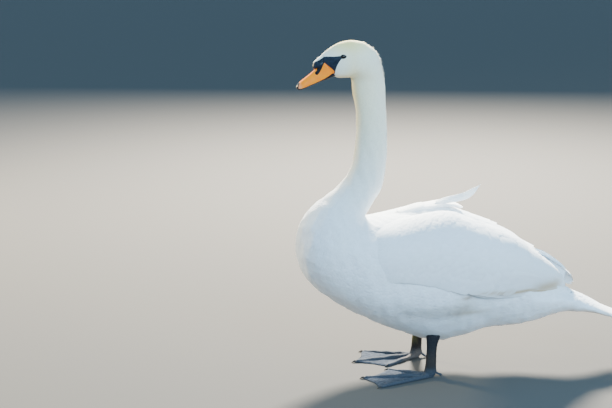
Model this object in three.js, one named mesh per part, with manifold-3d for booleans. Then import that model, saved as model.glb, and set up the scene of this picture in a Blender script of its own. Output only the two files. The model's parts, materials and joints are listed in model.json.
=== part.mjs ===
// Mute swan (Cygnus olor), adult, standing still on both feet with its wings folded and its neck upright.
// Millimetres, +Z up. The swan faces -X and its left side faces -Y. The floor is z = 0.
// Stations are written from the floor point midway between the heels. At the end the group is moved so
// that its origin is the bottom centre of the whole bird's box.
import * as THREE from "three";
import { mergeVertices } from "three/addons/utils/BufferGeometryUtils.js";
import Module from "manifold-3d";

const wasm = await Module();
wasm.setup();

// ---- driving dimensions -------------------------------------------------------------------------
const GAP = 0.3; // clearance left between two pieces that touch
const STANCE = 73; // half the distance between the two legs
const ANKLE_HEIGHT = 122;
const BODY_SIDES = 24;
const BILL_SIDES = 16;
const FOLD_STEPS = 6; // faces round a wing from its ridge to its widest point
const TAIL_SIDES = 18;
const LIMB_SIDES = 10;
const TOE_SIDES = 8;
const WING_MIDLINE = 0.5; // distance from the mid plane to a folded wing's inner edge
const WING_DIVISION = 240; // where the coverts end and the flight feathers go on alone
const WING_FULLNESS = 0.92; // below 1, a wing's fold is a little squarer than an ellipse
const VALLEY_SLOPE = { across: 0.45, down: 0.35 }; // a point on the way from the mid plane to the ridge
const TIP_REACH = { left: 0.9, right: 1.09 }; // how far back each wing's tip lies, against WING below
const EYE = { centre: [-216.5, 23.9, 797], size: [9.5, 6, 6.8] };
const MASK_FLOOR = 11; // the bare black skin is cut down to this distance from the mid plane
const NOSTRIL = { centre: [-276, 15.2, 761.5], size: [9.5, 4.5, 3.2], slope: 0.86 };
const KNOB = { centre: [-274, 0, 780], size: [12.5, 11.5, 12.5], slope: 0.5 };
const NAIL = { centre: [-323.5, 0, 728], size: [14, 15, 16], slope: -0.72 };
const WEB_FLOOR = 1; // the webs hang clear of the floor by this much
const WEB_THICKNESS = 2.2;
const WEB_REACH = 0.97; // how far along its toes a web goes
const WEB_HOLLOW = 0.08; // how far its front margin curves back
const KNUCKLE = 0.09; // how much a toe swells at a knuckle
const TOE_RISE = 0.8; // height of a toe's axis over its sole, in half thicknesses
const HIND_TOE = { root: 6, reach: 34, inward: 9, height: 13, from: 5.2, to: 3 };
const CLAW = { length: 13, thick: 3.2, point: 0.5, lift: 1.2, droop: 0.8 };

const FEATHER = { color: 0xf1f1ec, roughness: 0.85, metalness: 0 };
const ORANGE = { color: 0xf08a2c, roughness: 0.45, metalness: 0 };
const BLACK = { color: 0x14161b, roughness: 0.5, metalness: 0 };
const LEG = { color: 0x2b313b, roughness: 0.6, metalness: 0 };
const WEB = { color: 0x4f5b68, roughness: 0.6, metalness: 0 };
const HORN = { color: 0x1c1d20, roughness: 0.4, metalness: 0 };
const IRIS = { color: 0x120c08, roughness: 0.08, metalness: 0 };

// ---- stations -----------------------------------------------------------------------------------
// Each body section is a closed ring in a plane that holds the Y axis. back and belly are its ends in
// the mid plane as [x, z]. half is its half width, full its squareness (2 is an ellipse), and lift
// moves its widest level towards the back (+) or the belly (-).
const BODY = [
  { at: "rump_end", back: [404, 178], belly: [404, 136], half: 40, full: 2, lift: 0 },
  { at: "tail_root", back: [360, 206], belly: [358, 134], half: 60, full: 2, lift: 0 },
  { at: "rump", back: [300, 249], belly: [298, 119], half: 79, full: 2, lift: 0 },
  { at: "vent", back: [235, 296], belly: [235, 107], half: 95, full: 2.05, lift: 0 },
  { at: "loins", back: [160, 342], belly: [160, 104], half: 113, full: 1.95, lift: 0 },
  { at: "thighs", back: [80, 378], belly: [88, 84], half: 128, full: 1.9, lift: 0 },
  { at: "middle", back: [0, 397], belly: [16, 77], half: 137, full: 1.9, lift: 0 },
  { at: "ribs", back: [-75, 400], belly: [-78, 111], half: 142, full: 2.05, lift: 0 },
  { at: "shoulders", back: [-125, 399], belly: [-150, 146], half: 144, full: 2.25, lift: 0 },
  { at: "keel", back: [-146, 398], belly: [-220, 183], half: 139, full: 2.25, lift: 0.05 },
  { at: "low_breast", back: [-154, 400], belly: [-277, 225], half: 129, full: 2.2, lift: 0.05 },
  { at: "full_breast", back: [-156, 402], belly: [-311, 266], half: 119, full: 2.2, lift: 0.03 },
  { at: "breast", back: [-157, 404], belly: [-325, 314], half: 107, full: 2.15, lift: 0 },
  { at: "high_breast", back: [-154, 411], belly: [-319, 378], half: 84, full: 2.1, lift: 0 },
  { at: "neck_root", back: [-145, 423], belly: [-285, 429], half: 63, full: 2.05, lift: 0 },
  { at: "neck_base", back: [-127, 449], belly: [-224, 477], half: 46, full: 2, lift: 0 },
  { at: "neck_low", back: [-110, 489], belly: [-192, 522], half: 39, full: 2, lift: 0 },
  { at: "neck_middle", back: [-102, 556], belly: [-180, 584], half: 35, full: 2, lift: 0 },
  { at: "neck_high", back: [-104, 640], belly: [-179, 655], half: 32.5, full: 2, lift: 0 },
  { at: "neck_top", back: [-109, 717], belly: [-188, 708], half: 31, full: 2, lift: 0 },
  { at: "throat", back: [-116, 766], belly: [-192, 740], half: 31, full: 2.05, lift: -0.05 },
  { at: "nape", back: [-130, 803], belly: [-194, 745], half: 32, full: 2.1, lift: -0.1 },
  { at: "hindcrown", back: [-158, 826], belly: [-198, 745], half: 33.5, full: 2.15, lift: -0.15 },
  { at: "crown", back: [-190, 833.5], belly: [-206, 744.5], half: 32.5, full: 2.15, lift: -0.2 },
  { at: "forecrown", back: [-217, 829.5], belly: [-216, 744.5], half: 29, full: 2.1, lift: -0.2 },
  { at: "brow", back: [-238, 820], belly: [-225, 745], half: 24.5, full: 2.1, lift: -0.15 },
  { at: "forehead", back: [-256, 807], belly: [-232, 748], half: 20, full: 2.1, lift: -0.1 },
  { at: "bill_base", back: [-269, 794], belly: [-236, 752], half: 17, full: 2.15, lift: -0.1 },
];

const UPPER_BILL = [
  { at: "base", back: [-269.5, 791], belly: [-237.5, 753], half: 16.6, full: 2.3, lift: -0.15 },
  { at: "knob", back: [-278, 769], belly: [-252, 747.5], half: 16, full: 2.3, lift: -0.35 },
  { at: "nostril", back: [-290, 756.5], belly: [-271, 739.5], half: 15.2, full: 2.4, lift: -0.4 },
  { at: "middle", back: [-304, 745.5], belly: [-291, 731.5], half: 14.8, full: 2.5, lift: -0.4 },
  { at: "spoon", back: [-315, 737], belly: [-307, 724.5], half: 14.6, full: 2.6, lift: -0.4 },
  { at: "nail", back: [-321.5, 730.5], belly: [-317, 720.5], half: 11.5, full: 2.4, lift: -0.3 },
  { at: "tip", back: [-325, 725], belly: [-323, 719], half: 5, full: 2, lift: 0 },
];

const LOWER_BILL = [
  { at: "base", back: [-240, 751.5], belly: [-236, 744], half: 14, full: 2.2, lift: 0.4 },
  { at: "gape", back: [-253, 746.3], belly: [-250, 739], half: 14.4, full: 2.2, lift: 0.4 },
  { at: "middle", back: [-282, 734.7], belly: [-280, 729], half: 13.6, full: 2.2, lift: 0.4 },
  { at: "spoon", back: [-308, 723.3], belly: [-307, 719], half: 13, full: 2.2, lift: 0.4 },
  { at: "tip", back: [-319, 718.7], belly: [-319, 716.4], half: 6, full: 2, lift: 0 },
];

const TAIL = [
  { at: "root", back: [393, 185], belly: [393, 133], half: 48, full: 1.9, lift: 0 },
  { at: "coverts", back: [430, 168], belly: [428, 130], half: 53, full: 1.8, lift: -0.1 },
  { at: "middle", back: [472, 142], belly: [470, 123], half: 52, full: 1.7, lift: -0.2 },
  { at: "fan", back: [512, 121], belly: [511, 112], half: 39, full: 1.7, lift: -0.2 },
  { at: "wedge", back: [545, 106], belly: [544.5, 101], half: 21, full: 1.8, lift: 0 },
  { at: "point", back: [569, 95.5], belly: [569, 93], half: 4, full: 2, lift: 0 },
];

// A folded wing, as sections across the bird. ridge is the top of the fold, valley its drop towards the
// mid plane, side the widest point and edge the lower border, each as [distance from the mid plane, z].
const WING = [
  { x: -190, ridge: [55, 366], valley: 2, side: [118, 292], edge: [113, 262], thick: 14 },
  { x: -140, ridge: [49, 387], valley: 3, side: [141, 302], edge: [137, 266], thick: 28 },
  { x: -80, ridge: [46, 399], valley: 7, side: [152, 306], edge: [150, 268], thick: 36 },
  { x: 0, ridge: [46, 416], valley: 14, side: [157, 302], edge: [153, 254], thick: 38 },
  { x: 50, ridge: [46, 419], valley: 18, side: [156, 296], edge: [151, 239], thick: 40 },
  { x: 105, ridge: [45, 398], valley: 14, side: [150, 288], edge: [143, 232], thick: 42 },
  { x: 155, ridge: [43, 379], valley: 10, side: [139, 279], edge: [130, 226], thick: 42 },
  { x: 207, ridge: [38, 357], valley: 8, side: [121, 268], edge: [112, 221], thick: 38 },
  { x: 240, ridge: [33, 338], valley: 6, side: [107, 260], edge: [98, 221], thick: 32 },
  { x: 256, ridge: [31, 323], valley: 5, side: [99, 256], edge: [88, 216], thick: 26 },
  { x: 290, ridge: [25, 301], valley: 4, side: [80, 245], edge: [70, 207], thick: 15 },
  { x: 315, ridge: [20, 285], valley: 3, side: [64, 236], edge: [56, 204], thick: 10 },
  { x: 345, ridge: [14, 261], valley: 2, side: [45, 222], edge: [41, 202], thick: 7 },
  { x: 370, ridge: [9, 236], valley: 1, side: [27, 208], edge: [25, 197], thick: 5 },
  { x: 384, ridge: [6, 216], valley: 1, side: [14, 203], edge: [13, 194], thick: 4 },
];

// The scapulars of the right wing stand up a little, and one long loose plume rises from them. roll
// turns a section so that its outer half lies higher.
const SCAPULARS = [
  { x: -60, top: 408, y: 44, half: 20, thick: 14, roll: 0 },
  { x: -15, top: 418, y: 44, half: 25, thick: 18, roll: 0 },
  { x: 25, top: 422, y: 42, half: 26, thick: 18, roll: 0.05 },
  { x: 55, top: 425, y: 41, half: 22, thick: 14, roll: 0.1 },
  { x: 78, top: 422, y: 40, half: 16, thick: 10, roll: 0.15 },
  { x: 97, top: 413, y: 40, half: 10, thick: 6, roll: 0.15 },
  { x: 107, top: 407, y: 40, half: 5, thick: 4, roll: 0.15 },
];
const PLUME = [
  { x: 30, top: 424, y: 34, half: 7, thick: 3, roll: 0.3 },
  { x: 60, top: 428.5, y: 33, half: 9.5, thick: 3.5, roll: 0.6 },
  { x: 88, top: 433, y: 32, half: 9.5, thick: 3.5, roll: 0.7 },
  { x: 108, top: 438, y: 31, half: 9, thick: 3.5, roll: 0.7 },
  { x: 124, top: 447, y: 30, half: 7.5, thick: 3, roll: 0.7 },
  { x: 137, top: 457, y: 30, half: 3, thick: 2, roll: 0.7 },
];

// The feathered thigh swells low on each flank. The tarsus stands below it.
const THIGH = [
  { x: -112, y: 112, z: 236, half: 22, tall: 26 },
  { x: -80, y: 104, z: 233, half: 41, tall: 50 },
  { x: -25, y: 98, z: 231, half: 49, tall: 61 },
  { x: 25, y: 95, z: 230, half: 50, tall: 63 },
  { x: 60, y: 93, z: 228, half: 46, tall: 52 },
  { x: 78, y: 92, z: 224, half: 38, tall: 35 },
  { x: 88, y: 92, z: 220, half: 24, tall: 16 },
];
const THIGH_FULLNESS = 2.5;
const TARSUS = [
  { z: 0, x: -2, out: 0, deep: 11, wide: 9 },
  { z: 14, x: 1, out: 0, deep: 16, wide: 11 },
  { z: 30, x: 2, out: 0, deep: 14, wide: 9.5 },
  { z: 75, x: 4, out: -1, deep: 13, wide: 9 },
  { z: 96, x: 6, out: -2, deep: 16, wide: 11 },
  { z: 110, x: 8, out: -3, deep: 19, wide: 13 },
  { z: ANKLE_HEIGHT, x: 9, out: -4, deep: 17, wide: 12 },
];

// Where each toe ends, claw included, from the floor point midway between the heels. out is the
// distance from the mid plane.
const FEET = [
  { side: "left", sign: -1, inner: [-102, 9], middle: [-176, 59], outer: [-147, 131] },
  { side: "right", sign: 1, inner: [-96, 10], middle: [-174, 56], outer: [-140, 133] },
];
const TOES = {
  inner: { root: [-8, 68], from: 7, to: 4.2, knuckles: 2 },
  middle: { root: [-11, 73], from: 7.8, to: 4.4, knuckles: 3 },
  outer: { root: [-8, 79], from: 7.2, to: 4, knuckles: 4 },
};

// ---- solids -------------------------------------------------------------------------------------
const power = (value, exponent) => Math.sign(value) * Math.abs(value) ** exponent;

// A closed solid through rings of equal count, capped at both ends by a fan round the ring's middle.
function loft(rings) {
  const sides = rings[0].length;
  const points = rings.flat();
  const middleOf = (ring) => ring.reduce((sum, p) => sum.add(p), new THREE.Vector3()).divideScalar(sides);
  const first = points.push(middleOf(rings[0])) - 1;
  const last = points.push(middleOf(rings[rings.length - 1])) - 1;
  const faces = [];
  for (let side = 0; side < sides; side++) {
    const next = (side + 1) % sides;
    for (let ring = 0; ring < rings.length - 1; ring++) {
      const [a, b] = [ring * sides + side, ring * sides + next];
      faces.push(a, b, b + sides, a, b + sides, a + sides);
    }
    const end = (rings.length - 1) * sides;
    faces.push(first, next, side, last, end + side, end + next);
  }
  const geometry = new THREE.BufferGeometry().setFromPoints(points);
  geometry.setIndex(faces);
  return toSolid(geometry);
}

// A manifold of a closed geometry, turned so that its faces point out.
function toSolid(geometry) {
  geometry.deleteAttribute("normal");
  geometry.deleteAttribute("uv");
  const merged = mergeVertices(geometry, 1e-4);
  const vertProperties = new Float32Array(merged.attributes.position.array);
  const triVerts = new Uint32Array(merged.index.array);
  const solid = new wasm.Manifold(new wasm.Mesh({ numProp: 3, vertProperties, triVerts }));
  if (solid.volume() > 0) return solid;
  return new wasm.Manifold(new wasm.Mesh({ numProp: 3, vertProperties, triVerts: triVerts.reverse() }));
}

// The largest body of a solid that a cut may have left in several.
function largest(solid) {
  return solid.decompose().reduce((best, body) => (body.volume() > best.volume() ? body : best));
}

function toMesh(name, solid, look) {
  const { vertProperties, triVerts } = largest(solid).getMesh();
  const geometry = new THREE.BufferGeometry();
  geometry.setAttribute("position", new THREE.BufferAttribute(vertProperties, 3));
  geometry.setIndex(new THREE.BufferAttribute(triVerts, 1));
  geometry.computeVertexNormals();
  const mesh = new THREE.Mesh(geometry, new THREE.MeshStandardMaterial(look));
  mesh.name = name;
  return mesh;
}

// A ball with three half sizes, each grown by grow, turned by slope about the Y axis and put at centre.
function ball(centre, size, { slope = 0, grow = 0, sides = 12 } = {}) {
  const geometry = new THREE.SphereGeometry(1, sides, Math.ceil(sides * 0.6));
  geometry.scale(...size.map((half) => half + grow)).rotateY(slope).translate(...centre);
  return toSolid(geometry);
}

// A smooth guide through stations. It gives the section at any place, counted in stations.
function guide(stations) {
  const curve = (vector) => new THREE.CatmullRomCurve3(stations.map(vector), false, "catmullrom", 0.5);
  const back = curve((s) => new THREE.Vector3(s.back[0], 0, s.back[1]));
  const belly = curve((s) => new THREE.Vector3(s.belly[0], 0, s.belly[1]));
  const shape = curve((s) => new THREE.Vector3(s.half, s.full, s.lift));
  return (place) => {
    const t = place / (stations.length - 1);
    return { back: back.getPoint(t), belly: belly.getPoint(t), shape: shape.getPoint(t) };
  };
}

// The ring of one section, grown all round by grow.
function sectionRing({ back, belly, shape }, sides, grow) {
  const middle = back.clone().add(belly).divideScalar(2);
  const up = back.clone().sub(middle);
  up.setLength(up.length() + grow);
  return Array.from({ length: sides }, (_, index) => {
    const angle = (index / sides) * 2 * Math.PI;
    const level = power(Math.cos(angle), 2 / shape.y);
    const across = power(Math.sin(angle), 2 / shape.y) * (shape.x + grow);
    const lifted = level + shape.z * (1 - level * level);
    return middle.clone().addScaledVector(up, lifted).add(new THREE.Vector3(0, across, 0));
  });
}

// A solid along stations from one place to another, with steps rings to each station.
function bodyLength(stations, { from, to, steps, sides = BODY_SIDES, grow = 0 }) {
  const section = guide(stations);
  const count = Math.ceil((to - from) * steps);
  const places = Array.from({ length: count + 1 }, (_, index) => from + ((to - from) * index) / count);
  return loft(places.map((place) => sectionRing(section(place), sides, grow)));
}

const place = (name, stations = BODY) => stations.findIndex((station) => station.at === name);
const wholeBill = (stations, grow = 0) =>
  bodyLength(stations, { from: 0, to: stations.length - 1, steps: 1, sides: BILL_SIDES, grow });

// ---- trunk, neck and head -----------------------------------------------------------------------
// Neighbours along the body part on a section. CUT is half the gap there, counted in stations.
const CUT = 0.006;
const TRUNK = { from: place("rump_end"), to: place("neck_base") - CUT, steps: 1.5 };
const HEAD = { from: place("neck_top") + CUT, to: place("bill_base"), steps: 1.5 };
const trunkGrown = bodyLength(BODY, { ...TRUNK, grow: GAP });

function necks() {
  const cuts = ["neck_base", "neck_middle", "neck_high", "neck_top"].map((name) => place(name));
  const names = ["neck_lower", "neck_middle", "neck_upper"];
  return names.map((name, index) => {
    const stretch = { from: cuts[index] + CUT, to: cuts[index + 1] - CUT, steps: 2 };
    return toMesh(name, bodyLength(BODY, stretch), FEATHER);
  });
}

const mirrored = (sign, [x, y, z]) => [x, sign * y, z];
const eyeball = (sign, grow = 0) => ball(mirrored(sign, EYE.centre), EYE.size, { grow });
const knob = (grow = 0) => ball(KNOB.centre, KNOB.size, { slope: KNOB.slope, grow });

// The bare skin's outline seen from the side, a wedge from the bill's base back to the eye, and the
// block that it cuts from one side of the head.
const MASK_CENTRE = [-248, 778];
const MASK_OUTLINE = [[-276, 797], [-257, 797.5], [-236, 798], [-221, 800], [-218, 794], [-225, 782],
  [-232, 768], [-234, 752], [-228, 740], [-262, 738], [-284, 780]];
function maskBlock(sign, grow) {
  const centre = new THREE.Vector2(...MASK_CENTRE);
  const shape = new THREE.Shape(MASK_OUTLINE.map((corner) => {
    const away = new THREE.Vector2(...corner).sub(centre);
    return away.setLength(away.length() + grow).add(centre);
  }));
  const block = new THREE.ExtrudeGeometry(shape, { depth: 60, bevelEnabled: false });
  const floor = MASK_FLOOR - grow;
  return toSolid(block.rotateX(Math.PI / 2).translate(0, sign > 0 ? floor + 60 : -floor, 0));
}

function headPieces() {
  const skull = bodyLength(BODY, HEAD).subtract(knob(GAP));
  const pieces = [];
  let head = skull;
  for (const [side, sign] of [["left", -1], ["right", 1]]) {
    const socket = eyeball(sign, GAP);
    const mask = skull.intersect(maskBlock(sign, 0)).subtract(socket);
    head = head.subtract(maskBlock(sign, GAP)).subtract(socket);
    pieces.push(toMesh(`mask_${side}`, mask, BLACK));
    pieces.push(toMesh(`eye_${side}`, eyeball(sign), IRIS));
  }
  pieces.push(toMesh("head", head, FEATHER));
  return pieces;
}

// ---- bill ---------------------------------------------------------------------------------------
// The block that parts the horny nail from the tip of the upper bill.
function nailBlock(grow) {
  const block = new THREE.BoxGeometry(...NAIL.size.map((length) => length + 2 * grow));
  return toSolid(block.rotateY(NAIL.slope).translate(...NAIL.centre));
}

function billPieces() {
  const headGrown = bodyLength(BODY, { ...HEAD, grow: GAP });
  const whole = wholeBill(UPPER_BILL).subtract(headGrown).subtract(knob(GAP));
  let upper = whole.subtract(nailBlock(GAP));
  for (const sign of [-1, 1]) {
    const nostril = { slope: NOSTRIL.slope, sides: 8 };
    upper = upper.subtract(ball(mirrored(sign, NOSTRIL.centre), NOSTRIL.size, nostril));
  }
  const lower = wholeBill(LOWER_BILL).subtract(headGrown).subtract(wholeBill(UPPER_BILL, GAP));
  return [
    toMesh("bill_upper", upper, ORANGE),
    toMesh("bill_lower", lower, ORANGE),
    toMesh("bill_nail", whole.intersect(nailBlock(0)), HORN),
    toMesh("bill_knob", knob().subtract(headGrown), BLACK),
  ];
}

// ---- wings --------------------------------------------------------------------------------------
// The shell's section at one station: over the fold from the mid plane to the lower edge, and back
// underneath, thick mm further in.
function wingRing(station, sign, reach) {
  const [ridgeY, ridgeZ] = station.ridge;
  const [sideY, sideZ] = station.side;
  const outer = [[WING_MIDLINE, ridgeZ - station.valley]];
  outer.push([ridgeY * VALLEY_SLOPE.across, ridgeZ - station.valley * VALLEY_SLOPE.down]);
  for (let step = 0; step <= FOLD_STEPS; step++) {
    const angle = (step / FOLD_STEPS) * (Math.PI / 2);
    const y = ridgeY + (sideY - ridgeY) * Math.sin(angle) ** WING_FULLNESS;
    outer.push([y, sideZ + (ridgeZ - sideZ) * Math.max(Math.cos(angle), 0) ** WING_FULLNESS]);
  }
  outer.push([(sideY + station.edge[0]) / 2 + 1, (sideZ + station.edge[1]) / 2], station.edge);
  const core = new THREE.Vector2(ridgeY, (ridgeZ + station.edge[1]) / 2);
  const inner = outer.map(([y, z]) => {
    const away = new THREE.Vector2(y, z).sub(core);
    return away.setLength(Math.max(away.length() - station.thick, away.length() * 0.2)).add(core);
  });
  inner[0].x = WING_MIDLINE;
  const x = station.x < WING_DIVISION ? station.x : WING_DIVISION + (station.x - WING_DIVISION) * reach;
  const ring = [...outer, ...inner.reverse().map((p) => [p.x, p.y])];
  return ring.map(([y, z]) => new THREE.Vector3(x, sign * y, z));
}

function wingShell(side, sign) {
  return loft(WING.map((station) => wingRing(station, sign, TIP_REACH[side])));
}

// A slab across x from one place to another, to part a wing along its length.
function slab(from, to) {
  return toSolid(new THREE.BoxGeometry(to - from, 600, 900).translate((from + to) / 2, 0, 400));
}

// A tapering vane of plumage: flat ovals across the bird, hung from their top and rolled.
function vane(stations) {
  return loft(stations.map(({ x, top, y, half, thick, roll }) =>
    Array.from({ length: LIMB_SIDES }, (_, index) => {
      const angle = (index / LIMB_SIDES) * 2 * Math.PI;
      const [across, up] = [half * Math.sin(angle), (thick / 2) * (Math.cos(angle) - 1)];
      const z = top + up * Math.cos(roll) + across * Math.sin(roll);
      return new THREE.Vector3(x, y + across * Math.cos(roll) - up * Math.sin(roll), z);
    })));
}

function wingPieces() {
  const pieces = [];
  for (const [side, sign] of [["left", -1], ["right", 1]]) {
    const shell = wingShell(side, sign).subtract(trunkGrown).subtract(thigh(sign, GAP));
    pieces.push(toMesh(`wing_${side}`, shell.subtract(slab(WING_DIVISION - GAP / 2, 600)), FEATHER));
    const flight = shell.subtract(slab(-600, WING_DIVISION + GAP / 2));
    pieces.push(toMesh(`flight_feathers_${side}`, flight, FEATHER));
  }
  const scapulars = largest(vane(SCAPULARS).subtract(wingShell("right", 1))).translate([0, 0, GAP]);
  pieces.push(toMesh("scapulars_right", scapulars, FEATHER));
  const plume = largest(vane(PLUME).subtract(scapulars)).translate([0, 0, GAP]);
  pieces.push(toMesh("plume_right", plume, FEATHER));
  return pieces;
}

// ---- legs ---------------------------------------------------------------------------------------
function thigh(sign, grow = 0) {
  return loft(THIGH.map(({ x, y, z, half, tall }) =>
    Array.from({ length: 2 * LIMB_SIDES }, (_, index) => {
      const angle = (index / (2 * LIMB_SIDES)) * 2 * Math.PI;
      const across = y + (half + grow) * power(Math.sin(angle), 2 / THIGH_FULLNESS);
      const level = z + (tall + grow) * power(Math.cos(angle), 2 / THIGH_FULLNESS);
      return new THREE.Vector3(x, sign * across, level);
    })));
}

function tarsus(sign, grow = 0) {
  const sides = LIMB_SIDES + 2;
  return loft(TARSUS.map(({ z, x, out, deep, wide }) =>
    Array.from({ length: sides }, (_, index) => {
      const angle = (index / sides) * 2 * Math.PI;
      const across = STANCE + out + (wide + grow) * Math.sin(angle);
      return new THREE.Vector3(x + (deep + grow) * Math.cos(angle), sign * across, z);
    })));
}

// A toe or claw along a line on the floor. radius gives its half thickness on the way from 0 to 1,
// and sole the height of its flat underside.
function digit({ start, end, rings, radius, sole = () => 0 }) {
  const along = end.clone().sub(start);
  const side = new THREE.Vector2(-along.y, along.x).normalize();
  return loft(Array.from({ length: rings }, (_, index) => {
    const t = index / (rings - 1);
    const middle = start.clone().addScaledVector(along, t);
    const half = radius(t);
    return Array.from({ length: TOE_SIDES }, (_, corner) => {
      const angle = (corner / TOE_SIDES) * 2 * Math.PI;
      const p = middle.clone().addScaledVector(side, half * Math.sin(angle));
      const z = half * TOE_RISE + half * Math.cos(angle);
      return new THREE.Vector3(p.x, p.y, Math.max(z, 0) + sole(t));
    });
  }));
}

// One toe as far as its claw: it swells at each knuckle. ahead points to the claw's tip.
function toePlan(foot, name) {
  const { root, from, to, knuckles } = TOES[name];
  const start = new THREE.Vector2(root[0], foot.sign * root[1]);
  const tip = new THREE.Vector2(foot[name][0], foot.sign * foot[name][1]);
  const ahead = tip.clone().sub(start).normalize();
  const end = tip.clone().addScaledVector(ahead, -CLAW.length);
  const swelling = (t) => 1 + KNUCKLE * Math.cos(2 * Math.PI * knuckles * t);
  const radius = (t) => (from + (to - from) * t) * (t < 1 ? swelling(t) : TOE_RISE);
  return { start, end, tip, ahead, radius, rings: 2 * knuckles + 1 };
}

function toeGrown(foot, name) {
  const toe = toePlan(foot, name);
  return digit({ ...toe, radius: (t) => toe.radius(t) + GAP, sole: () => -GAP });
}

function claw({ end, tip, ahead }) {
  const start = end.clone().addScaledVector(ahead, GAP);
  const radius = (t) => CLAW.thick * (1 - t) ** 0.7 + CLAW.point;
  const sole = (t) => CLAW.lift - CLAW.droop * t * t;
  return digit({ start, end: tip, rings: 4, radius, sole });
}

// The small hind toe slopes down behind the heel and rests its tip on the floor.
function hindToe(sign) {
  const { root, reach, inward, height, from, to } = HIND_TOE;
  const start = new THREE.Vector2(root, sign * STANCE);
  const end = new THREE.Vector2(reach, sign * (STANCE - inward));
  const sole = (t) => Math.max(height * (1 - 1.3 * t), 0);
  return digit({ start, end, rings: 6, radius: (t) => from + (to - from) * t, sole });
}

// The two webs of a foot: a thin plate from toe to toe with a hollow front margin.
function webs(foot, shank) {
  return [["inner", "middle"], ["middle", "outer"]].map(([first, second]) => {
    const [a, b] = [toePlan(foot, first), toePlan(foot, second)];
    const [p, q] = [a, b].map((toe) => toe.start.clone().lerp(toe.end, WEB_REACH));
    const root = a.start.clone().add(b.start).divideScalar(2);
    const hollow = p.clone().add(q).divideScalar(2).lerp(root, WEB_HOLLOW);
    const margin = new THREE.QuadraticBezierCurve(p, hollow, q).getPoints(6);
    const shape = new THREE.Shape([a.start, ...margin, b.start]);
    const plate = new THREE.ExtrudeGeometry(shape, { depth: WEB_THICKNESS, bevelEnabled: false });
    const web = toSolid(plate.translate(0, 0, WEB_FLOOR)).subtract(shank);
    const clear = web.subtract(toeGrown(foot, first)).subtract(toeGrown(foot, second));
    return toMesh(`web_${first}_${foot.side}`, clear, WEB);
  });
}

// The toes leave the tarsus side by side. Each one's root is cut clear of the ones before it.
function footPieces(foot) {
  const { side, sign } = foot;
  const shank = tarsus(sign, GAP);
  const pieces = [toMesh(`tarsus_${side}`, tarsus(sign).subtract(trunkGrown), LEG)];
  const made = [shank];
  for (const name of ["middle", "inner", "outer"]) {
    const plan = toePlan(foot, name);
    const toe = made.reduce((left, other) => left.subtract(other), digit(plan));
    made.push(toeGrown(foot, name));
    pieces.push(toMesh(`toe_${name}_${side}`, toe, LEG));
    pieces.push(toMesh(`claw_${name}_${side}`, claw(plan), HORN));
  }
  pieces.push(toMesh(`toe_hind_${side}`, hindToe(sign).subtract(shank), LEG));
  return [...pieces, ...webs(foot, shank)];
}

// ---- the swan -----------------------------------------------------------------------------------
function build() {
  const swan = new THREE.Group();
  const trunk = bodyLength(BODY, TRUNK);
  swan.add(toMesh("trunk", trunk, FEATHER), ...necks(), ...headPieces(), ...billPieces());
  const tail = bodyLength(TAIL, { from: 0, to: TAIL.length - 1, steps: 1, sides: TAIL_SIDES });
  swan.add(toMesh("tail", tail.subtract(trunkGrown), FEATHER), ...wingPieces());
  for (const foot of FEET) {
    const swelling = thigh(foot.sign).subtract(trunkGrown).subtract(tarsus(foot.sign, GAP));
    swan.add(toMesh(`thigh_${foot.side}`, swelling, FEATHER), ...footPieces(foot));
  }
  const box = new THREE.Box3().setFromObject(swan);
  swan.position.x = -(box.min.x + box.max.x) / 2;
  return swan;
}

export default build();
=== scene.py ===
"""Looks of a standing adult mute swan: skin, feathers, bill, eyes and feet around the fixed frame.

Lengths are in millimetres, written from the floor point midway between the heels, as in the solids.
They turn to metres in the row frame where a mesh is made. The swan faces -X and its left side faces -Y.
"""

import json
import math

import bpy
import numpy as np
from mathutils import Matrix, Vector
from mathutils.bvhtree import BVHTree

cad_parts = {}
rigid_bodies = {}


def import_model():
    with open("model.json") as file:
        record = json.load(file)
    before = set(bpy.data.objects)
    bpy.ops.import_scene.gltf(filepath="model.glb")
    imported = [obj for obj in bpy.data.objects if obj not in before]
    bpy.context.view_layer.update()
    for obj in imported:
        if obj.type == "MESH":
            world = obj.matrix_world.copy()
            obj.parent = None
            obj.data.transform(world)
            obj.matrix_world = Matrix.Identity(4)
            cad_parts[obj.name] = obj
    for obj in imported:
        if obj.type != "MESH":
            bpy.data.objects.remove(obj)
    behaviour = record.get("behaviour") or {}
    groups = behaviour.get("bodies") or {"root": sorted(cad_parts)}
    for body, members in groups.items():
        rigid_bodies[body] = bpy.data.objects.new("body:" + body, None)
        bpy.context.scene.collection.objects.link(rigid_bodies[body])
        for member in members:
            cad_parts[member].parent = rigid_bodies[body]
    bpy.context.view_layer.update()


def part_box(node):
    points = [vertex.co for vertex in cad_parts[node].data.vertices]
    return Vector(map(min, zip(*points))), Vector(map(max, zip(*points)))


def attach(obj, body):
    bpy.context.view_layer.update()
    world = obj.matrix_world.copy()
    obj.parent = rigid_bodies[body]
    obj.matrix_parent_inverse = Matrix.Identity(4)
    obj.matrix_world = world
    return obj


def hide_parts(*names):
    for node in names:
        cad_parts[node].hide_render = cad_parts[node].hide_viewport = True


for item in list(bpy.data.objects):
    bpy.data.objects.remove(item)
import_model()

TAIL_END = 569.0
SHIFT = np.array([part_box("tail")[1].x * 1000 - TAIL_END, 0, 0])
rng = np.random.default_rng(20)

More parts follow.
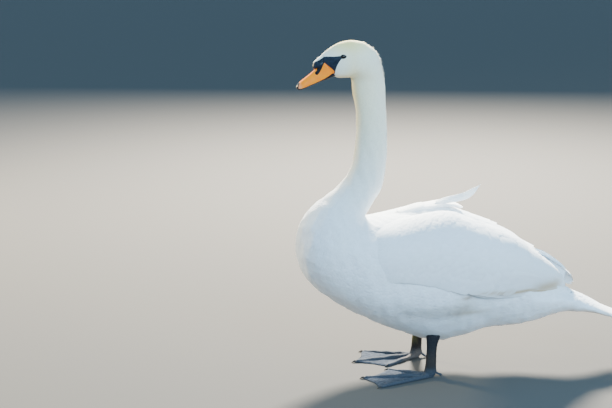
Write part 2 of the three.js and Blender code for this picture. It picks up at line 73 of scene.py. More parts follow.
# ---- stations ----
# back x, back z, belly x, belly z, half width, squareness, lift of the widest level, coat depth
BODY = np.array([
    [452, 157, 451, 126.5, 53, 1.75, -0.1, 2.2],
    [428, 171, 427, 129.5, 53, 1.8, -0.1, 3],
    [404, 181.5, 404, 132, 51, 1.9, -0.05, 4],
    [360, 206, 358, 134, 60, 2, 0, 4.5],
    [300, 249, 298, 119, 79, 2, 0, 4.8],
    [235, 296, 235, 107, 95, 2.05, 0, 5],
    [160, 342, 160, 104, 113, 1.95, 0, 5],
    [80, 378, 88, 84, 128, 1.9, 0, 5],
    [0, 397, 16, 77, 137, 1.9, 0, 5],
    [-75, 400, -78, 111, 142, 2.05, 0, 5],
    [-125, 399, -150, 146, 144, 2.25, 0, 5],
    [-146, 398, -220, 183, 139, 2.25, 0.05, 4.8],
    [-154, 400, -277, 225, 129, 2.2, 0.05, 4.5],
    [-156, 402, -311, 266, 119, 2.2, 0.03, 4.3],
    [-157, 404, -325, 314, 107, 2.15, 0, 4.1],
    [-154, 411, -319, 378, 84, 2.1, 0, 3.8],
    [-145, 423, -285, 429, 63, 2.05, 0, 3.4],
    [-127, 449, -224, 477, 46, 2, 0, 3],
    [-110, 489, -192, 522, 39, 2, 0, 2.7],
    [-102, 556, -180, 584, 35, 2, 0, 2.5],
    [-104, 640, -179, 655, 32.5, 2, 0, 2.4],
    [-109, 717, -188, 708, 31, 2, 0, 2.2],
    [-116, 766, -192, 740, 31, 2.05, -0.05, 2],
    [-130, 803, -194, 745, 32, 2.1, -0.1, 1.8],
    [-158, 826, -198, 745, 33.5, 2.15, -0.15, 1.6],
    [-190, 833.5, -206, 744.5, 32.5, 2.15, -0.2, 1.5],
    [-217, 829.5, -216, 744.5, 29, 2.1, -0.2, 1.4],
    [-238, 820, -225, 745, 24.5, 2.1, -0.15, 1.3],
    [-256, 807, -232, 748, 20, 2.1, -0.1, 1.2],
    [-269, 794, -236, 752, 17, 2.15, -0.1, 1.1],
])
RUMP_END, NECK_BASE, NECK_TOP, HEAD_BASE, THROAT, BILL_BASE = 4.5, 17, 21, 21.6, 22, 29

UPPER_BILL = np.array([
    [-269.5, 791, -237.5, 753, 16.6, 2.4, -0.2, 0],
    [-278, 769, -252, 747.0, 16, 2.5, -0.55, 0],
    [-290, 756.5, -271, 738.6, 15.2, 2.7, -0.65, 0],
    [-304, 745.5, -291, 730.4, 14.8, 2.8, -0.65, 0],
    [-315, 737, -307, 723.5, 14.6, 2.8, -0.6, 0],
    [-321.5, 730.5, -317, 719.8, 11.5, 2.5, -0.5, 0],
    [-325, 725, -323, 719, 5, 2, 0, 0],
])
LOWER_BILL = np.array([
    [-240, 754, -236, 747, 12, 2.2, 0.4, 0],
    [-253, 748.5, -250, 741.6, 12.8, 2.2, 0.4, 0],
    [-282, 737, -280, 731.2, 12.2, 2.2, 0.4, 0],
    [-308, 726, -307, 719.8, 11.6, 2.2, 0.4, 0],
    [-320, 721.5, -320, 717, 6, 2, 0, 0],
])
TAIL = np.array([
    [393, 185, 393, 133, 48, 1.9, 0, 6],
    [430, 168, 428, 130, 53, 1.8, -0.1, 6],
    [472, 144, 470, 123, 52, 2.0, -0.2, 5],
    [512, 126, 511, 111, 39, 2.0, -0.2, 3],
    [545, 109, 544.5, 100, 21, 1.9, 0, 2],
    [569, 95.5, 569, 93, 4, 2, 0, 1],
])

# x, ridge y, ridge z, valley drop, side y, side z, edge y, edge z, thickness
WING = np.array([
    [-190, 55, 366, 2, 118, 292, 113, 262, 14],
    [-140, 49, 387, 3, 141, 302, 137, 266, 28],
    [-80, 46, 399, 7, 152, 306, 150, 268, 36],
    [0, 46, 416, 14, 157, 302, 153, 254, 38],
    [50, 46, 419, 18, 156, 296, 151, 239, 40],
    [105, 45, 398, 14, 150, 288, 143, 232, 42],
    [155, 43, 379, 10, 139, 279, 130, 226, 42],
    [207, 38, 357, 8, 121, 268, 112, 221, 38],
    [240, 33, 338, 6, 107, 260, 98, 221, 32],
    [256, 31, 323, 5, 99, 256, 88, 216, 26],
    [290, 25, 301, 4, 80, 245, 70, 207, 15],
    [315, 20, 285, 3, 64, 236, 56, 204, 10],
    [345, 14, 261, 2, 45, 222, 41, 202, 7],
    [370, 9, 236, 1, 27, 208, 25, 197, 5],
    [384, 6, 216, 1, 14, 203, 13, 194, 4],
], dtype=float)
WING_DIVISION = 240.0
WING_MIDLINE = 0.5
WING_FULLNESS = 0.92
VALLEY_ACROSS, VALLEY_DOWN = 0.45, 0.35
TIP_REACH = {"left": 0.9, "right": 1.09}

# x, y, z, half width, half height
THIGH = np.array([
    [-112, 112, 236, 22, 26],
    [-80, 104, 233, 41, 50],
    [-25, 98, 231, 49, 61],
    [25, 95, 230, 50, 63],
    [60, 93, 228, 46, 52],
    [78, 92, 224, 38, 35],
    [88, 92, 220, 24, 16],
])
THIGH_FULLNESS = 2.5
FLANK_PROUD = 10.0  # the flank's feathers puff out over the wing's lower edge by this much
RUMP_TUCK = 5.0  # the rump stays inside the folded wings' lower edge by this much
FLANK_SOFTENING = 4  # how often the flank's bulge is blurred over the body's grid


# ---- curves and surfaces ----
def through(rows, steps):
    """Catmull-Rom through rows of numbers, with this many steps from each row to the next."""
    ends = np.vstack([2 * rows[0] - rows[1], rows, 2 * rows[-1] - rows[-2]])
    places = np.linspace(0, len(rows) - 1, (len(rows) - 1) * steps + 1)
    first = np.clip(np.floor(places).astype(int), 0, len(rows) - 2)
    t = (places - first)[:, None]
    a, b, c, d = (ends[first + k] for k in range(4))
    m0, m1 = (c - a) / 2, (d - b) / 2
    return b + m0 * t + (3 * (c - b) - 2 * m0 - m1) * t**2 + (2 * (b - c) + m0 + m1) * t**3


def slow(low, high, value):
    """A soft step from 0 at low to 1 at high."""
    t = np.clip((value - low) / (high - low), 0, 1)
    return t * t * (3 - 2 * t)


def power(value, exponent):
    """A power that keeps its value's sign."""
    return np.sign(value) * np.abs(value) ** exponent


def turns(count):
    """Angles of a full turn in even steps."""
    return np.linspace(0, 2 * np.pi, count + 1)[:-1]


def blend(first, second, amount):
    """The first where amount is 0, the second where it is 1."""
    return first * (1 - amount) + second * amount


def even(ring, count, closed):
    """A line of points read again at even steps of its length."""
    if closed:
        ring = np.vstack([ring, ring[:1]])
    reach = np.concatenate([[0], np.cumsum(np.linalg.norm(np.diff(ring, axis=0), axis=1))])
    stops = np.linspace(0, reach[-1], count + 1)[:-1] if closed else np.linspace(0, reach[-1], count)
    return np.stack([np.interp(stops, reach, ring[:, k]) for k in range(3)], axis=1)


LONGEST_STEP = 14  # rows or columns of a patch that one step may cross


class Patch:
    """A surface as a grid of points. u counts rows and v columns, and both may be fractions."""

    def __init__(self, points, closed):
        along = np.gradient(points, axis=0)
        if closed:
            across = (np.roll(points, -1, 1) - np.roll(points, 1, 1)) / 2
        else:
            across = np.gradient(points, axis=1)
        normal = np.cross(along, across)
        size = np.linalg.norm(normal, axis=2, keepdims=True)
        normal /= np.maximum(size, 1e-9)
        middle = points.mean(axis=1, keepdims=True)
        if (normal * (points - middle)).sum() < 0:
            normal = -normal
        self.points, self.closed = points, closed
        self.rows, self.columns = points.shape[:2]
        self.fields = np.concatenate([points, normal, along, across], axis=2)
        self.area = size[..., 0]

    def read(self, u, v):
        """Point, normal and the two tangents at each place. Past an edge the surface runs on straight."""
        wanted_u, wanted_v = u, v
        u = np.clip(u, 0, self.rows - 1.0001)
        i = np.floor(u).astype(int)
        if self.closed:
            v = np.mod(v, self.columns)
            j = np.minimum(np.floor(v).astype(int), self.columns - 1)
            k = (j + 1) % self.columns
        else:
            v = np.clip(v, 0, self.columns - 1.0001)
            j = np.floor(v).astype(int)
            k = j + 1
        s, t = (u - i)[..., None], (v - j)[..., None]
        f = self.fields
        value = (f[i, j] * (1 - s) * (1 - t) + f[i + 1, j] * s * (1 - t)
                 + f[i, k] * (1 - s) * t + f[i + 1, k] * s * t)
        normal = value[..., 3:6]
        normal = normal / np.maximum(np.linalg.norm(normal, axis=-1, keepdims=True), 1e-9)
        point, along, across = value[..., :3], value[..., 6:9], value[..., 9:12]
        point = point + along * (wanted_u - u)[..., None]
        if not self.closed:
            point = point + across * (wanted_v - v)[..., None]
        return point, normal, along, across

    def step(self, u, v, along, across, move):
        """The place reached from (u, v) by a move along the surface, given the tangents there."""
        a, b, c = (along * along).sum(-1), (along * across).sum(-1), (across * across).sum(-1)
        p, q = (along * move).sum(-1), (across * move).sum(-1)
        size = np.maximum(a * c - b * b, 1e-6)
        steps = np.clip([(c * p - b * q) / size, (a * q - b * p) / size], -LONGEST_STEP, LONGEST_STEP)
        return u + steps[0], v + steps[1]

    def facing(self, axis, way):
        """The same patch, its normals turned, if need be, towards one way along an axis."""
        if self.fields[..., 3 + axis].mean() * way < 0:
            self.fields[..., 3:6] *= -1
        return self

    def offset(self, distance):
        """The grid moved along its normals by one distance, or one for each row."""
        distance = np.asarray(distance, float)
        if distance.ndim == 1:
            distance = distance[:, None, None]
        return self.points + self.fields[..., 3:6] * distance


def waves(points, size, count=9):
    """A smooth random height of about one unit over points, its bumps about size across."""
    total = np.zeros(points.shape[:-1])
    for _ in range(count):
        wave = unit(rng.normal(size=3)) * math.pi / size * rng.uniform(0.7, 1.4)
        total += np.sin(points @ wave + rng.uniform(0, 2 * math.pi))
    return total / math.sqrt(count / 2)


def blurred(values, times):
    """A closed grid of values, each cell mixed with its neighbours."""
    for _ in range(times):
        values = (2 * values + np.roll(values, 1, 1) + np.roll(values, -1, 1)) / 4
        ends = np.pad(values, ((1, 1), (0, 0)), mode="edge")
        values = (2 * values + ends[:-2] + ends[2:]) / 4
    return values


def section_patch(stations, per_station, columns):
    """The patch of a body made of closed sections, from the first station to the last."""
    angle = turns(720)
    rows = []
    for back_x, back_z, belly_x, belly_z, half, full, lift, _ in through(stations, per_station):
        level = power(np.cos(angle), 2 / full)
        across = power(np.sin(angle), 2 / full) * half
        level = level + lift * (1 - level**2)
        x = (back_x + belly_x) / 2 + (back_x - belly_x) / 2 * level
        z = (back_z + belly_z) / 2 + (back_z - belly_z) / 2 * level
        rows.append(even(np.stack([x, across, z], axis=1), columns, True))
    return Patch(np.array(rows), True)


def wing_lines(station):
    """The outer line of a folded wing's section, from the mid plane to its lower edge."""
    _, ridge_y, ridge_z, valley, side_y, side_z, edge_y, edge_z, thick = station
    turn = np.linspace(0, np.pi / 2, 25)
    y = ridge_y + (side_y - ridge_y) * np.sin(turn) ** WING_FULLNESS
    z = side_z + (ridge_z - side_z) * np.maximum(np.cos(turn), 0) ** WING_FULLNESS
    dip = np.array([[WING_MIDLINE, ridge_z - valley],
                    [ridge_y * VALLEY_ACROSS, ridge_z - valley * VALLEY_DOWN]])
    low = np.array([[(side_y + edge_y) / 2 + 1, (side_z + edge_z) / 2], [edge_y, edge_z]])
    outer = np.vstack([dip, np.stack([y, z], axis=1), low])
    core = np.array([ridge_y, (ridge_z + edge_z) / 2])
    away = outer - core
    size = np.linalg.norm(away, axis=1, keepdims=True)
    inner = core + away / size * np.maximum(size - thick, size * 0.2)
    inner[0, 0] = WING_MIDLINE
    return outer, inner


def stretch(x, side):
    """An x of the plain wing moved as its tip is, which ends nearer or further on each side."""
    return x if x < WING_DIVISION else WING_DIVISION + (x - WING_DIVISION) * TIP_REACH[side]


def wing_patches(side, sign, steps=8, columns=90):
    """The outer and the inner surface of one folded wing."""
    layers = [[], []]
    for station in through(WING, steps):
        x = stretch(station[0], side)
        for layer, line in zip(layers, wing_lines(station)):
            ring = np.column_stack([np.full(len(line), x), sign * line[:, 0], line[:, 1]])
            layer.append(even(ring, columns, False))
    outer, inner = (Patch(np.array(layer), False) for layer in layers)
    inner.fields[..., 3:6] *= -1
    return outer, inner


def thigh_patch(sign):
    """The bulge of a thigh under the flank's feathers."""
    rows = []
    angle = turns(180)
    for x, y, z, half, tall in through(THIGH, 8):
        across = y + FLANK_PROUD * (0.5 + 0.5 * np.cos(angle))
        across = across + half * power(np.sin(angle), 2 / THIGH_FULLNESS)
        level = z + tall * power(np.cos(angle), 2 / THIGH_FULLNESS)
        rows.append(even(np.column_stack([np.full(180, x), sign * across, level]), 72, True))
    return Patch(np.array(rows), True)


# ---- meshes ----
def bridged(a, b, c, d):
    """Two triangles for each cell with the corners a, b, c and d."""
    return np.vstack([np.stack([a, b, c], -1).reshape(-1, 3), np.stack([a, c, d], -1).reshape(-1, 3)])


def facing_out(vertices, faces):
    """A closed solid, its triangles turned if they face in."""
    t = vertices[faces]
    volume = (t[:, 0] * np.cross(t[:, 1], t[:, 2])).sum()
    return vertices, faces if volume > 0 else faces[:, ::-1]


def shut(points):
    """The solid of a tube of rings, closed at both ends round each end's middle."""
    rows, columns = points.shape[:2]
    index = np.arange(rows * columns).reshape(rows, columns)
    turned = np.roll(index, -1, 1)
    first, last = np.full(columns, rows * columns), np.full(columns, rows * columns + 1)
    faces = np.vstack([bridged(index[:-1], turned[:-1], turned[1:], index[1:]),
                       np.stack([first, turned[0], index[0]], -1),
                       np.stack([last, index[-1], turned[-1]], -1)])
    return facing_out(np.vstack([points.reshape(-1, 3), points[0].mean(0), points[-1].mean(0)]), faces)


def shell(outer, inner):
    """A closed solid between two open grids of the same size."""
    return shut(np.concatenate([outer, inner[:, ::-1]], axis=1))


def joined(parts):
    """Several solids as one list of vertices and one of faces."""
    starts = np.cumsum([0] + [len(vertices) for vertices, _ in parts])
    return (np.vstack([vertices for vertices, _ in parts]),
            np.vstack([faces + start for (_, faces), start in zip(parts, starts)]))


def linked(name, data):
    """A new object of the scene."""
    made = bpy.data.objects.new(name, data)
    bpy.context.scene.collection.objects.link(made)
    return made


def mesh_of(name, vertices, faces):
    """A linked mesh object from millimetres in the solids' own frame."""
    vertices = (np.asarray(vertices) + SHIFT) / 1000
    faces = np.asarray(faces, np.int32)
    mesh = bpy.data.meshes.new(name)
    mesh.vertices.add(len(vertices))
    mesh.vertices.foreach_set("co", vertices.astype(np.float32).ravel())
    mesh.loops.add(faces.size)
    mesh.loops.foreach_set("vertex_index", faces.ravel())
    mesh.polygons.add(len(faces))
    mesh.polygons.foreach_set("loop_start", np.arange(0, faces.size, faces.shape[1], dtype=np.int32))
    mesh.update(calc_edges=True)
    mesh.polygons.foreach_set("use_smooth", np.ones(len(faces), bool))
    return linked(name, mesh)


def finish_piece(piece, material, nodes=()):
    """Gives a piece its material, hangs it under the root body and hides the nodes that it stands for."""
    piece.data.materials.clear()
    piece.data.materials.append(material)
    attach(piece, "root")
    if nodes:
        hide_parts(*nodes)
    return piece


class Solid:
    """A closed surface that tells how deep points lie inside it."""

    def __init__(self, vertices, faces):
        self.tree = BVHTree.FromPolygons([tuple(p) for p in vertices],
                                         [tuple(map(int, f)) for f in faces])
        self.low, self.high = vertices.min(0), vertices.max(0)

    def depth(self, points):
        """Depth of each point, negative outside."""
        result = np.full(len(points), -99.0)
        near_box = ((points > self.low) & (points < self.high)).all(1)
        for k in np.flatnonzero(near_box):
            point = Vector(points[k])
            near, normal, _, distance = self.tree.find_nearest(point)
            result[k] = distance if (point - near).dot(normal) < 0 else -distance
        return result


def paint(piece, **layers):
    """Named layers of a piece, each with a number or a colour for every vertex, or one for all."""
    for name, values in layers.items():
        if np.ndim(values) == 2:
            layer = piece.data.attributes.new(name, "FLOAT_COLOR", "POINT")
            full = np.ones((len(values), 4), np.float32)
            full[:, :3] = values
            layer.data.foreach_set("color", full.ravel())
        else:
            layer = piece.data.attributes.new(name, "FLOAT", "POINT")
            full = np.broadcast_to(values, len(piece.data.vertices))
            layer.data.foreach_set("value", full.astype(np.float32))


def vectors(items, key):
    values = np.empty(len(items) * 3, np.float32)
    items.foreach_get(key, values)
    return values.reshape(-1, 3)


def positions(piece):
    """Vertices of a piece in the solids' own millimetres."""
    return vectors(piece.data.vertices, "co") * 1000 - SHIFT


def remeshed(name, parts, voxel, smoothing):
    """One closed surface round several solids that run into each other."""
    rough = mesh_of(name + "_rough", *joined(parts))
    remesh = rough.modifiers.new("remesh", "REMESH")
    remesh.mode, remesh.voxel_size, remesh.use_smooth_shade = "VOXEL", voxel / 1000, True
    smooth = rough.modifiers.new("smooth", "SMOOTH")
    smooth.factor, smooth.iterations = 0.5, smoothing
    graph = bpy.context.evaluated_depsgraph_get()
    mesh = bpy.data.meshes.new_from_object(rough.evaluated_get(graph))
    mesh.name = name
    bpy.data.objects.remove(rough)
    mesh.polygons.foreach_set("use_smooth", np.ones(len(mesh.polygons), bool))
    print(name, len(mesh.polygons), "quads")
    return linked(name, mesh)


# ---- feathers ----
class Vane:
    """One feather's own mesh. It has a thin keeled top, a flat underside and, if asked, a torn end.

    A row holds the place along it, half width, columns and crown, and a tear the place, half width,
    crown and bulge. Each vertex keeps its place along, its place across in half widths, the same
    from -1 to 1 and its height over the underside in thicknesses.
    """

    def __init__(self, rows, tear=None, tips=()):
        self.data, self.faces, self.facing, self.row_starts = [(0.0, 0.0, 0.0, 0.0)], [], [], [0]
        top, floor = [0], [0]
        for t, half, columns, crown in rows:
            edges = np.linspace(-1, 1, columns)
            row = self._row([(t, half * e, e, crown * (1 - e * e)) for e in edges])
            self._zip(top, row, True)
            self._zip(floor, [row[0], row[-1]], False)
            top, floor = row, [row[0], row[-1]]
        if tear:
            t, half, crown, bulge = tear
            edges = np.linspace(-1, 1, 2 * len(tips) + 1)
            row = self._row([(t + bulge * (1 - e * e), half * e, e, crown * (k % 2))
                             for k, e in enumerate(edges)])
            self._zip(top, row, True)
            self._zip(floor, row[::2], False)
            for k, tip in enumerate(self._row([(t, aside, aside, 0) for t, aside in tips])):
                left, ridge, right = row[2 * k:2 * k + 3]
                self.faces += [(left, tip, ridge), (ridge, tip, right), (left, right, tip)]
                self.facing += [1, 1, -1]
        else:
            tip = self._row([(1.0, 0, 0, 0)])
            self._zip(top, tip, True)
            self._zip(floor, tip, False)
        self.data, self.faces, self.facing = map(np.array, (self.data, self.faces, self.facing))

    def _row(self, vertices):
        self.row_starts.append(len(self.data))
        self.data += vertices
        return list(range(self.row_starts[-1], len(self.data)))

    def _zip(self, near, far, up):
        """Triangles between two rows of unlike counts, matched by their place across."""
        i = j = 0
        place = lambda row, k: k / max(len(row) - 1, 1)
        while i < len(near) - 1 or j < len(far) - 1:
            ahead = j < len(far) - 1 and (i == len(near) - 1
                                          or place(far, j + 1) <= place(near, i + 1) + 1e-9)
            face = (near[i], far[j], far[j + 1] if ahead else near[i + 1])
            i, j = (i, j + 1) if ahead else (i + 1, j)
            self.faces.append(face if up else face[::-1])
            self.facing.append(1 if up else -1)


def large_width(t, point):
    """Half width of a long feather at t. point above 1 sharpens its end."""
    root = min(t / 0.22, 1.0) ** 0.6
    end = max(1 - max(t - 0.72, 0) / 0.28, 0.0)
    return root * (1 - (1 - end) ** 2.2) ** (0.5 * point)


WISP = Vane([(0.4, 0.85, 3, 1.0)], (0.76, 1.0, 0.6, 0.13), [(0.92, -0.72), (1.0, 0.05), (0.90, 0.74)])
TUFT = Vane([(0.25, 0.6, 3, 1.0), (0.52, 1.0, 3, 0.9)], (0.74, 1.05, 0.6, 0.18),
            [(0.85, -0.84), (0.955, -0.44), (1.0, 0.05), (0.965, 0.43), (0.84, 0.87)])
COVERT = Vane([(t, half, 5, 1.0) for t, half in
               [(0.1, 0.45), (0.28, 0.82), (0.5, 1.0), (0.7, 1.0), (0.84, 0.86), (0.93, 0.62),
                (0.98, 0.32)]])
LARGE, POINTED = (Vane([(t, large_width(t, point), 9, 1.0)
                        for t in 1 - (1 - np.linspace(0.03, 0.995, 22)) ** 1.15])
                  for point in (1.0, 1.7))
PATCH_SIZE = 0.003  # how much of its piece's bake map one feather takes
TRIES = 6  # random places tried for each feather that has room


def unit(vectors):
    return vectors / np.maximum(np.linalg.norm(vectors, axis=-1, keepdims=True), 1e-9)


def grow(patch, u, v, vane, length, width, low, high, thick, way=1, stiff=0.4, sway=0.0,
         camber=0.0, tilt=0.0, curl=0.35, rise=0.0, taper=0.0):
    """Feathers of one kind with their roots at places on a patch, laid along its rows (way 1) or back.

    Returns the vane and every feather's vertices, shading normals, vane coordinates and bake
    coordinates. Heights are over the patch: low at the root, high at the tip. rise lifts single
    feathers' ends, and taper narrows them.
    """
    count = len(u)
    full = lambda value: np.broadcast_to(np.asarray(value, float), (count,))
    length, width, low, high, tilt, rise = map(full, (length, width, low, high, tilt, rise))
    u0, v0 = np.array(u, float), np.array(v, float)
    cu, cv = u0.copy(), v0.copy()
    _, normal, along, across = patch.read(cu, cv)
    ahead = way * unit(along)
    angle = full(sway)[:, None]
    ahead = unit(ahead * np.cos(angle) + np.cross(normal, ahead) * np.sin(angle))
    out = np.empty((count, len(vane.data), 3))
    normals = np.empty_like(out)
    reached = 0.0
    for start, end in zip(vane.row_starts, vane.row_starts[1:] + [len(vane.data)]):
        row_t = vane.data[start:end, 0].mean()
        if row_t > reached:
            cu, cv = patch.step(cu, cv, along, across, ahead * (length * (row_t - reached))[:, None])
            _, normal, along, across = patch.read(cu, cv)
            ahead = stiff * ahead + (1 - stiff) * way * unit(along)
            ahead = unit(ahead - normal * (ahead * normal).sum(-1, keepdims=True))
            reached = row_t
        side = np.cross(normal, ahead)
        for k in range(start, end):
            t, b, edge, lift = vane.data[k]
            half = b * width / 2 * (1 - taper * t)
            move = side * half[:, None] + ahead * (length * (t - row_t))[:, None]
            pu, pv = patch.step(cu, cv, along, across, move)
            p, n, _, _ = patch.read(pu, pv)
            height = low + (high - low) * t + thick * lift - camber * edge * edge
            height = height + tilt * edge * min(t / 0.3, 1) + rise * t * t
            out[:, k] = p + n * height[:, None]
            normals[:, k] = unit(n + side * (edge * curl))
    vanes = np.stack([np.broadcast_to(vane.data[:, 2], out.shape[:2]) * width[:, None] / 2,
                      np.broadcast_to(vane.data[:, 0], out.shape[:2]) * length[:, None]], axis=-1)
    root = np.stack([u0 / patch.rows, np.mod(v0, patch.columns) / patch.columns], axis=-1)
    small = (vane.data[:, [0, 2]] * [1, 0.5] - [0.5, 0]) * PATCH_SIZE
    bake = root[:, None] * (1 - 2 * PATCH_SIZE) + PATCH_SIZE + small[None]
    return vane, out, normals, vanes, bake


def scatter(patch, spacing, keep=None, rows=None):
    """Places over a patch that stay spacing(u) apart, in a random order."""
    first, last = rows or (0, patch.rows - 1)
    cells = np.meshgrid(np.arange(first, last), np.arange(patch.columns - (not patch.closed)),
                        indexing="ij")
    i, j = (values.ravel() for values in cells)
    weight = patch.area[i, j] / spacing(i + 0.5)**2
    count = int(weight.sum() * TRIES)
    cell = rng.choice(len(i), count, p=weight / weight.sum())
    u, v = i[cell] + rng.random(count), j[cell] + rng.random(count)
    points, _, _, _ = patch.read(u, v)
    if keep is not None:
        good = keep(points, u)
        u, v, points = u[good], v[good], points[good]
    gaps = spacing(u)
    boxes = np.floor(points / gaps.max()).astype(int).tolist()
    near = [(a, b, c) for a in (-1, 0, 1) for b in (-1, 0, 1) for c in (-1, 0, 1)]
    taken, chosen = {}, []
    for k, ((a, b, c), (x, y, z), square) in enumerate(zip(boxes, points.tolist(), (gaps**2).tolist())):
        others = (p for da, db, dc in near for p in taken.get((a + da, b + db, c + dc), ()))
        if all((px - x)**2 + (py - y)**2 + (pz - z)**2 >= square for px, py, pz in others):
            taken.setdefault((a, b, c), []).append((x, y, z))
            chosen.append(k)
    return u[chosen], v[chosen]


class Coat:
    """Feathers gathered for one piece."""

    def __init__(self, name, marks=None):
        self.name, self.parts, self.marks = name, [], marks or marked

    def add(self, grown, spread=0.018):
        """Feathers of one kind. spread is how much each is lighter or darker than the next.

        A feather that a sharp bend of the patch has pulled out of shape is left out.
        """
        vane, *fields = grown
        points, _, vanes, _ = fields
        whole = np.ptp(points, axis=1).max(1) < 5 + 1.4 * np.ptp(vanes, axis=1).max(1)
        count, size = whole.sum(), len(vane.data)
        flat = [values[whole].reshape(-1, values.shape[-1]) for values in fields]
        shades = np.repeat(1 + spread * rng.standard_normal(count), size)
        faces = (size * np.arange(count)[:, None, None] + vane.faces).reshape(-1, 3)
        self.parts.append((*flat, shades, faces, np.tile(vane.facing, count)))

    def make(self, material, nodes=()):
        """The piece, with its maps, its markings and the soft normals of its feathers."""
        points, normals, vanes, bakes, shades, faces, facing = zip(*self.parts)
        points, faces = joined(list(zip(points, faces)))
        piece = mesh_of(self.name, points, faces)
        corner = faces.ravel()
        for name, values in (("OFBake", np.vstack(bakes)), ("vane", np.vstack(vanes) / 1000)):
            layer = piece.data.uv_layers.new(name=name)
            layer.data.foreach_set("uv", values[corner].astype(np.float32).ravel())
        paint(piece, mark=self.marks(points) * np.concatenate(shades)[:, None])
        turned = np.vstack(normals)[corner] * np.repeat(np.concatenate(facing), 3)[:, None]
        piece.data.normals_split_custom_set(turned.tolist())
        print(self.name, len(faces), "triangles")
        finish_piece(piece, material, nodes)


# ---- markings ----
# The plumage's white is tinted blue as painted sky shade, and the loosened feathers' paler white is painted
# sunlight.
WHITE_WITH_PAINTED_SKY_SHADE, PAINTED_SUNLIT_WHITE = np.array([0.86, 0.90, 0.945]), np.array([0.97, 0.975, 0.98])
# centre x and z, radii, colour and strength of each tint. Most are the plumage's stains; the stripes down
# the neck's edges carry painted rim light, and the flank's fold and the belly carry painted shade. The skin
# and the coat share them.
STAINS_AND_PAINTED_LIGHT = [
    # the neck's and the crown's cream and yellow stains
    ((-170, 700), (95, 190), (0.96, 0.90, 0.66), 1.0),
    ((-208, 829), (60, 24), (1.0, 0.82, 0.25), 0.80),
    # a yellow stripe down the neck's front edge: partly the neck's staining, partly painted rim light
    ((-192, 660), (14, 105), (0.98, 0.76, 0.28), 0.80),
    # a cream stripe down the neck's back edge: painted rim light
    ((-124, 700), (12, 130), (0.97, 0.90, 0.72), 0.60),
    # brownish tints on the throat under the jaw and on the chin behind the bill
    ((-172, 750), (26, 12), (0.78, 0.64, 0.38), 0.55),
    ((-222, 746), (26, 6), (0.80, 0.60, 0.28), 0.60),
    # grey-brown patches and lines along the flank's fold under the wing: painted shade
    ((66, 190), (34, 20), (0.36, 0.29, 0.21), 0.50),
    ((84, 178), (46, 7), (0.42, 0.28, 0.15), 0.55),
    ((10, 196), (60, 12), (0.50, 0.43, 0.35), 0.30),
    ((72, 221), (15, 5), (0.38, 0.24, 0.13), 0.70),
    # grey-brown over the belly's underside: painted shade
    ((20, 100), (120, 16), (0.60, 0.55, 0.46), 0.30),
    # tan lines along the tail's underside
    ((430, 131), (60, 9), (0.60, 0.45, 0.28), 0.45),
    ((505, 106), (80, 9), (0.62, 0.42, 0.20), 0.85),
]


def marked(points):
    """The plumage's colour at points of the body: its stains, painted rim light down the neck and painted
    shade on the flank's fold and the belly, over a white tinted blue as painted sky shade.
    """
    shade = np.broadcast_to(WHITE_WITH_PAINTED_SKY_SHADE, points.shape).copy()
    for centre, radii, colour, strength in STAINS_AND_PAINTED_LIGHT:
        far = (((points[..., [0, 2]] - centre) / radii) ** 2).sum(-1)
        shade = blend(shade, np.array(colour), (strength * np.exp(-far))[..., None])
    return shade


def painted_sunlit(points):
    """Colour of the loosened feathers on the back: painted sunlight, paler than the rest."""
    return np.broadcast_to(PAINTED_SUNLIT_WHITE, points.shape)


def wing_marked(points):
    """Colour of a wing's feathers: tan along the lower edge and on the secondaries' ends, partly stain and
    partly painted shade.
    """
    x, z = points[:, 0], points[:, 2]
    above = z - np.interp(x, WING[:, 0], WING[:, 7])
    # tan along the lower edge, where the wing meets the flank: partly stain, partly painted crease shade
    edge = 0.95 * np.exp(-((above / 4.5) ** 2)) * np.clip((x - 60) / 90, 0, 1)
    # tan on the secondaries' ends: partly stain, partly painted shade
    ends = 0.8 * np.exp(-(((x - 304) / 44) ** 4) - ((z - 217) / 16) ** 2)
    return blend(marked(points), np.array([0.54, 0.36, 0.18]), np.maximum(edge, ends)[:, None])


# ---- materials ----
class Nodes:
    """Shorthand for one material's node tree."""

    def __init__(self, name):
        self.material = bpy.data.materials.new(name)
        self.material.use_nodes = True
        self.tree = self.material.node_tree
        self.shader = self.tree.nodes["Principled BSDF"]

    def node(self, kind, inputs=None, **settings):
        made = self.tree.nodes.new("ShaderNode" + kind)
        for key, value in settings.items():
            setattr(made, key, value)
        for key, value in (inputs or {}).items():
            self.feed(made.inputs[key], value)
        return made

    def feed(self, socket, value):
        if isinstance(value, bpy.types.NodeSocket):
            self.tree.links.new(value, socket)
        elif isinstance(value, (tuple, list)) and len(value) == 3 and socket.type == "RGBA":
            socket.default_value = (*value, 1)
        else:
            socket.default_value = value

    def set(self, **values):
        for key, value in values.items():
            self.feed(self.shader.inputs[key.replace("_", " ")], value)

    def noise(self, scale, detail=2.0, stretch=None):
        vector = self.node("TexCoord").outputs["Object"]
        if stretch:
            vector = self.node("Mapping", {"Vector": vector, "Scale": stretch}).outputs[0]
        return self.node("TexNoise", {"Vector": vector, "Scale": scale, "Detail": detail}).outputs["Fac"]

    def span(self, value, low=0.3, high=0.7, to_low=0.0, to_high=1.0):
        """A value from low to high spread from to_low to to_high. Most noises run from 0.3 to 0.7."""
        return self.node("MapRange", {"Value": value, "From Min": low, "From Max": high,
                                      "To Min": to_low, "To Max": to_high}).outputs[0]

    def math(self, operation, a, b=0.0):
        return self.node("Math", {0: a, 1: b}, operation=operation).outputs[0]

    def mix(self, factor, a, b, blend="MIX"):
        made = self.node("Mix", data_type="RGBA", blend_type=blend)
        self.feed(made.inputs[0], factor)
        self.feed(made.inputs[6], a)
        self.feed(made.inputs[7], b)
        return made.outputs[2]

    def attribute(self, name, output="Color"):
        return self.node("Attribute", attribute_name=name).outputs[output]

    def bump(self, height, strength, distance):
        inputs = {"Height": height, "Strength": strength, "Distance": distance}
        return self.node("Bump", inputs).outputs[0]


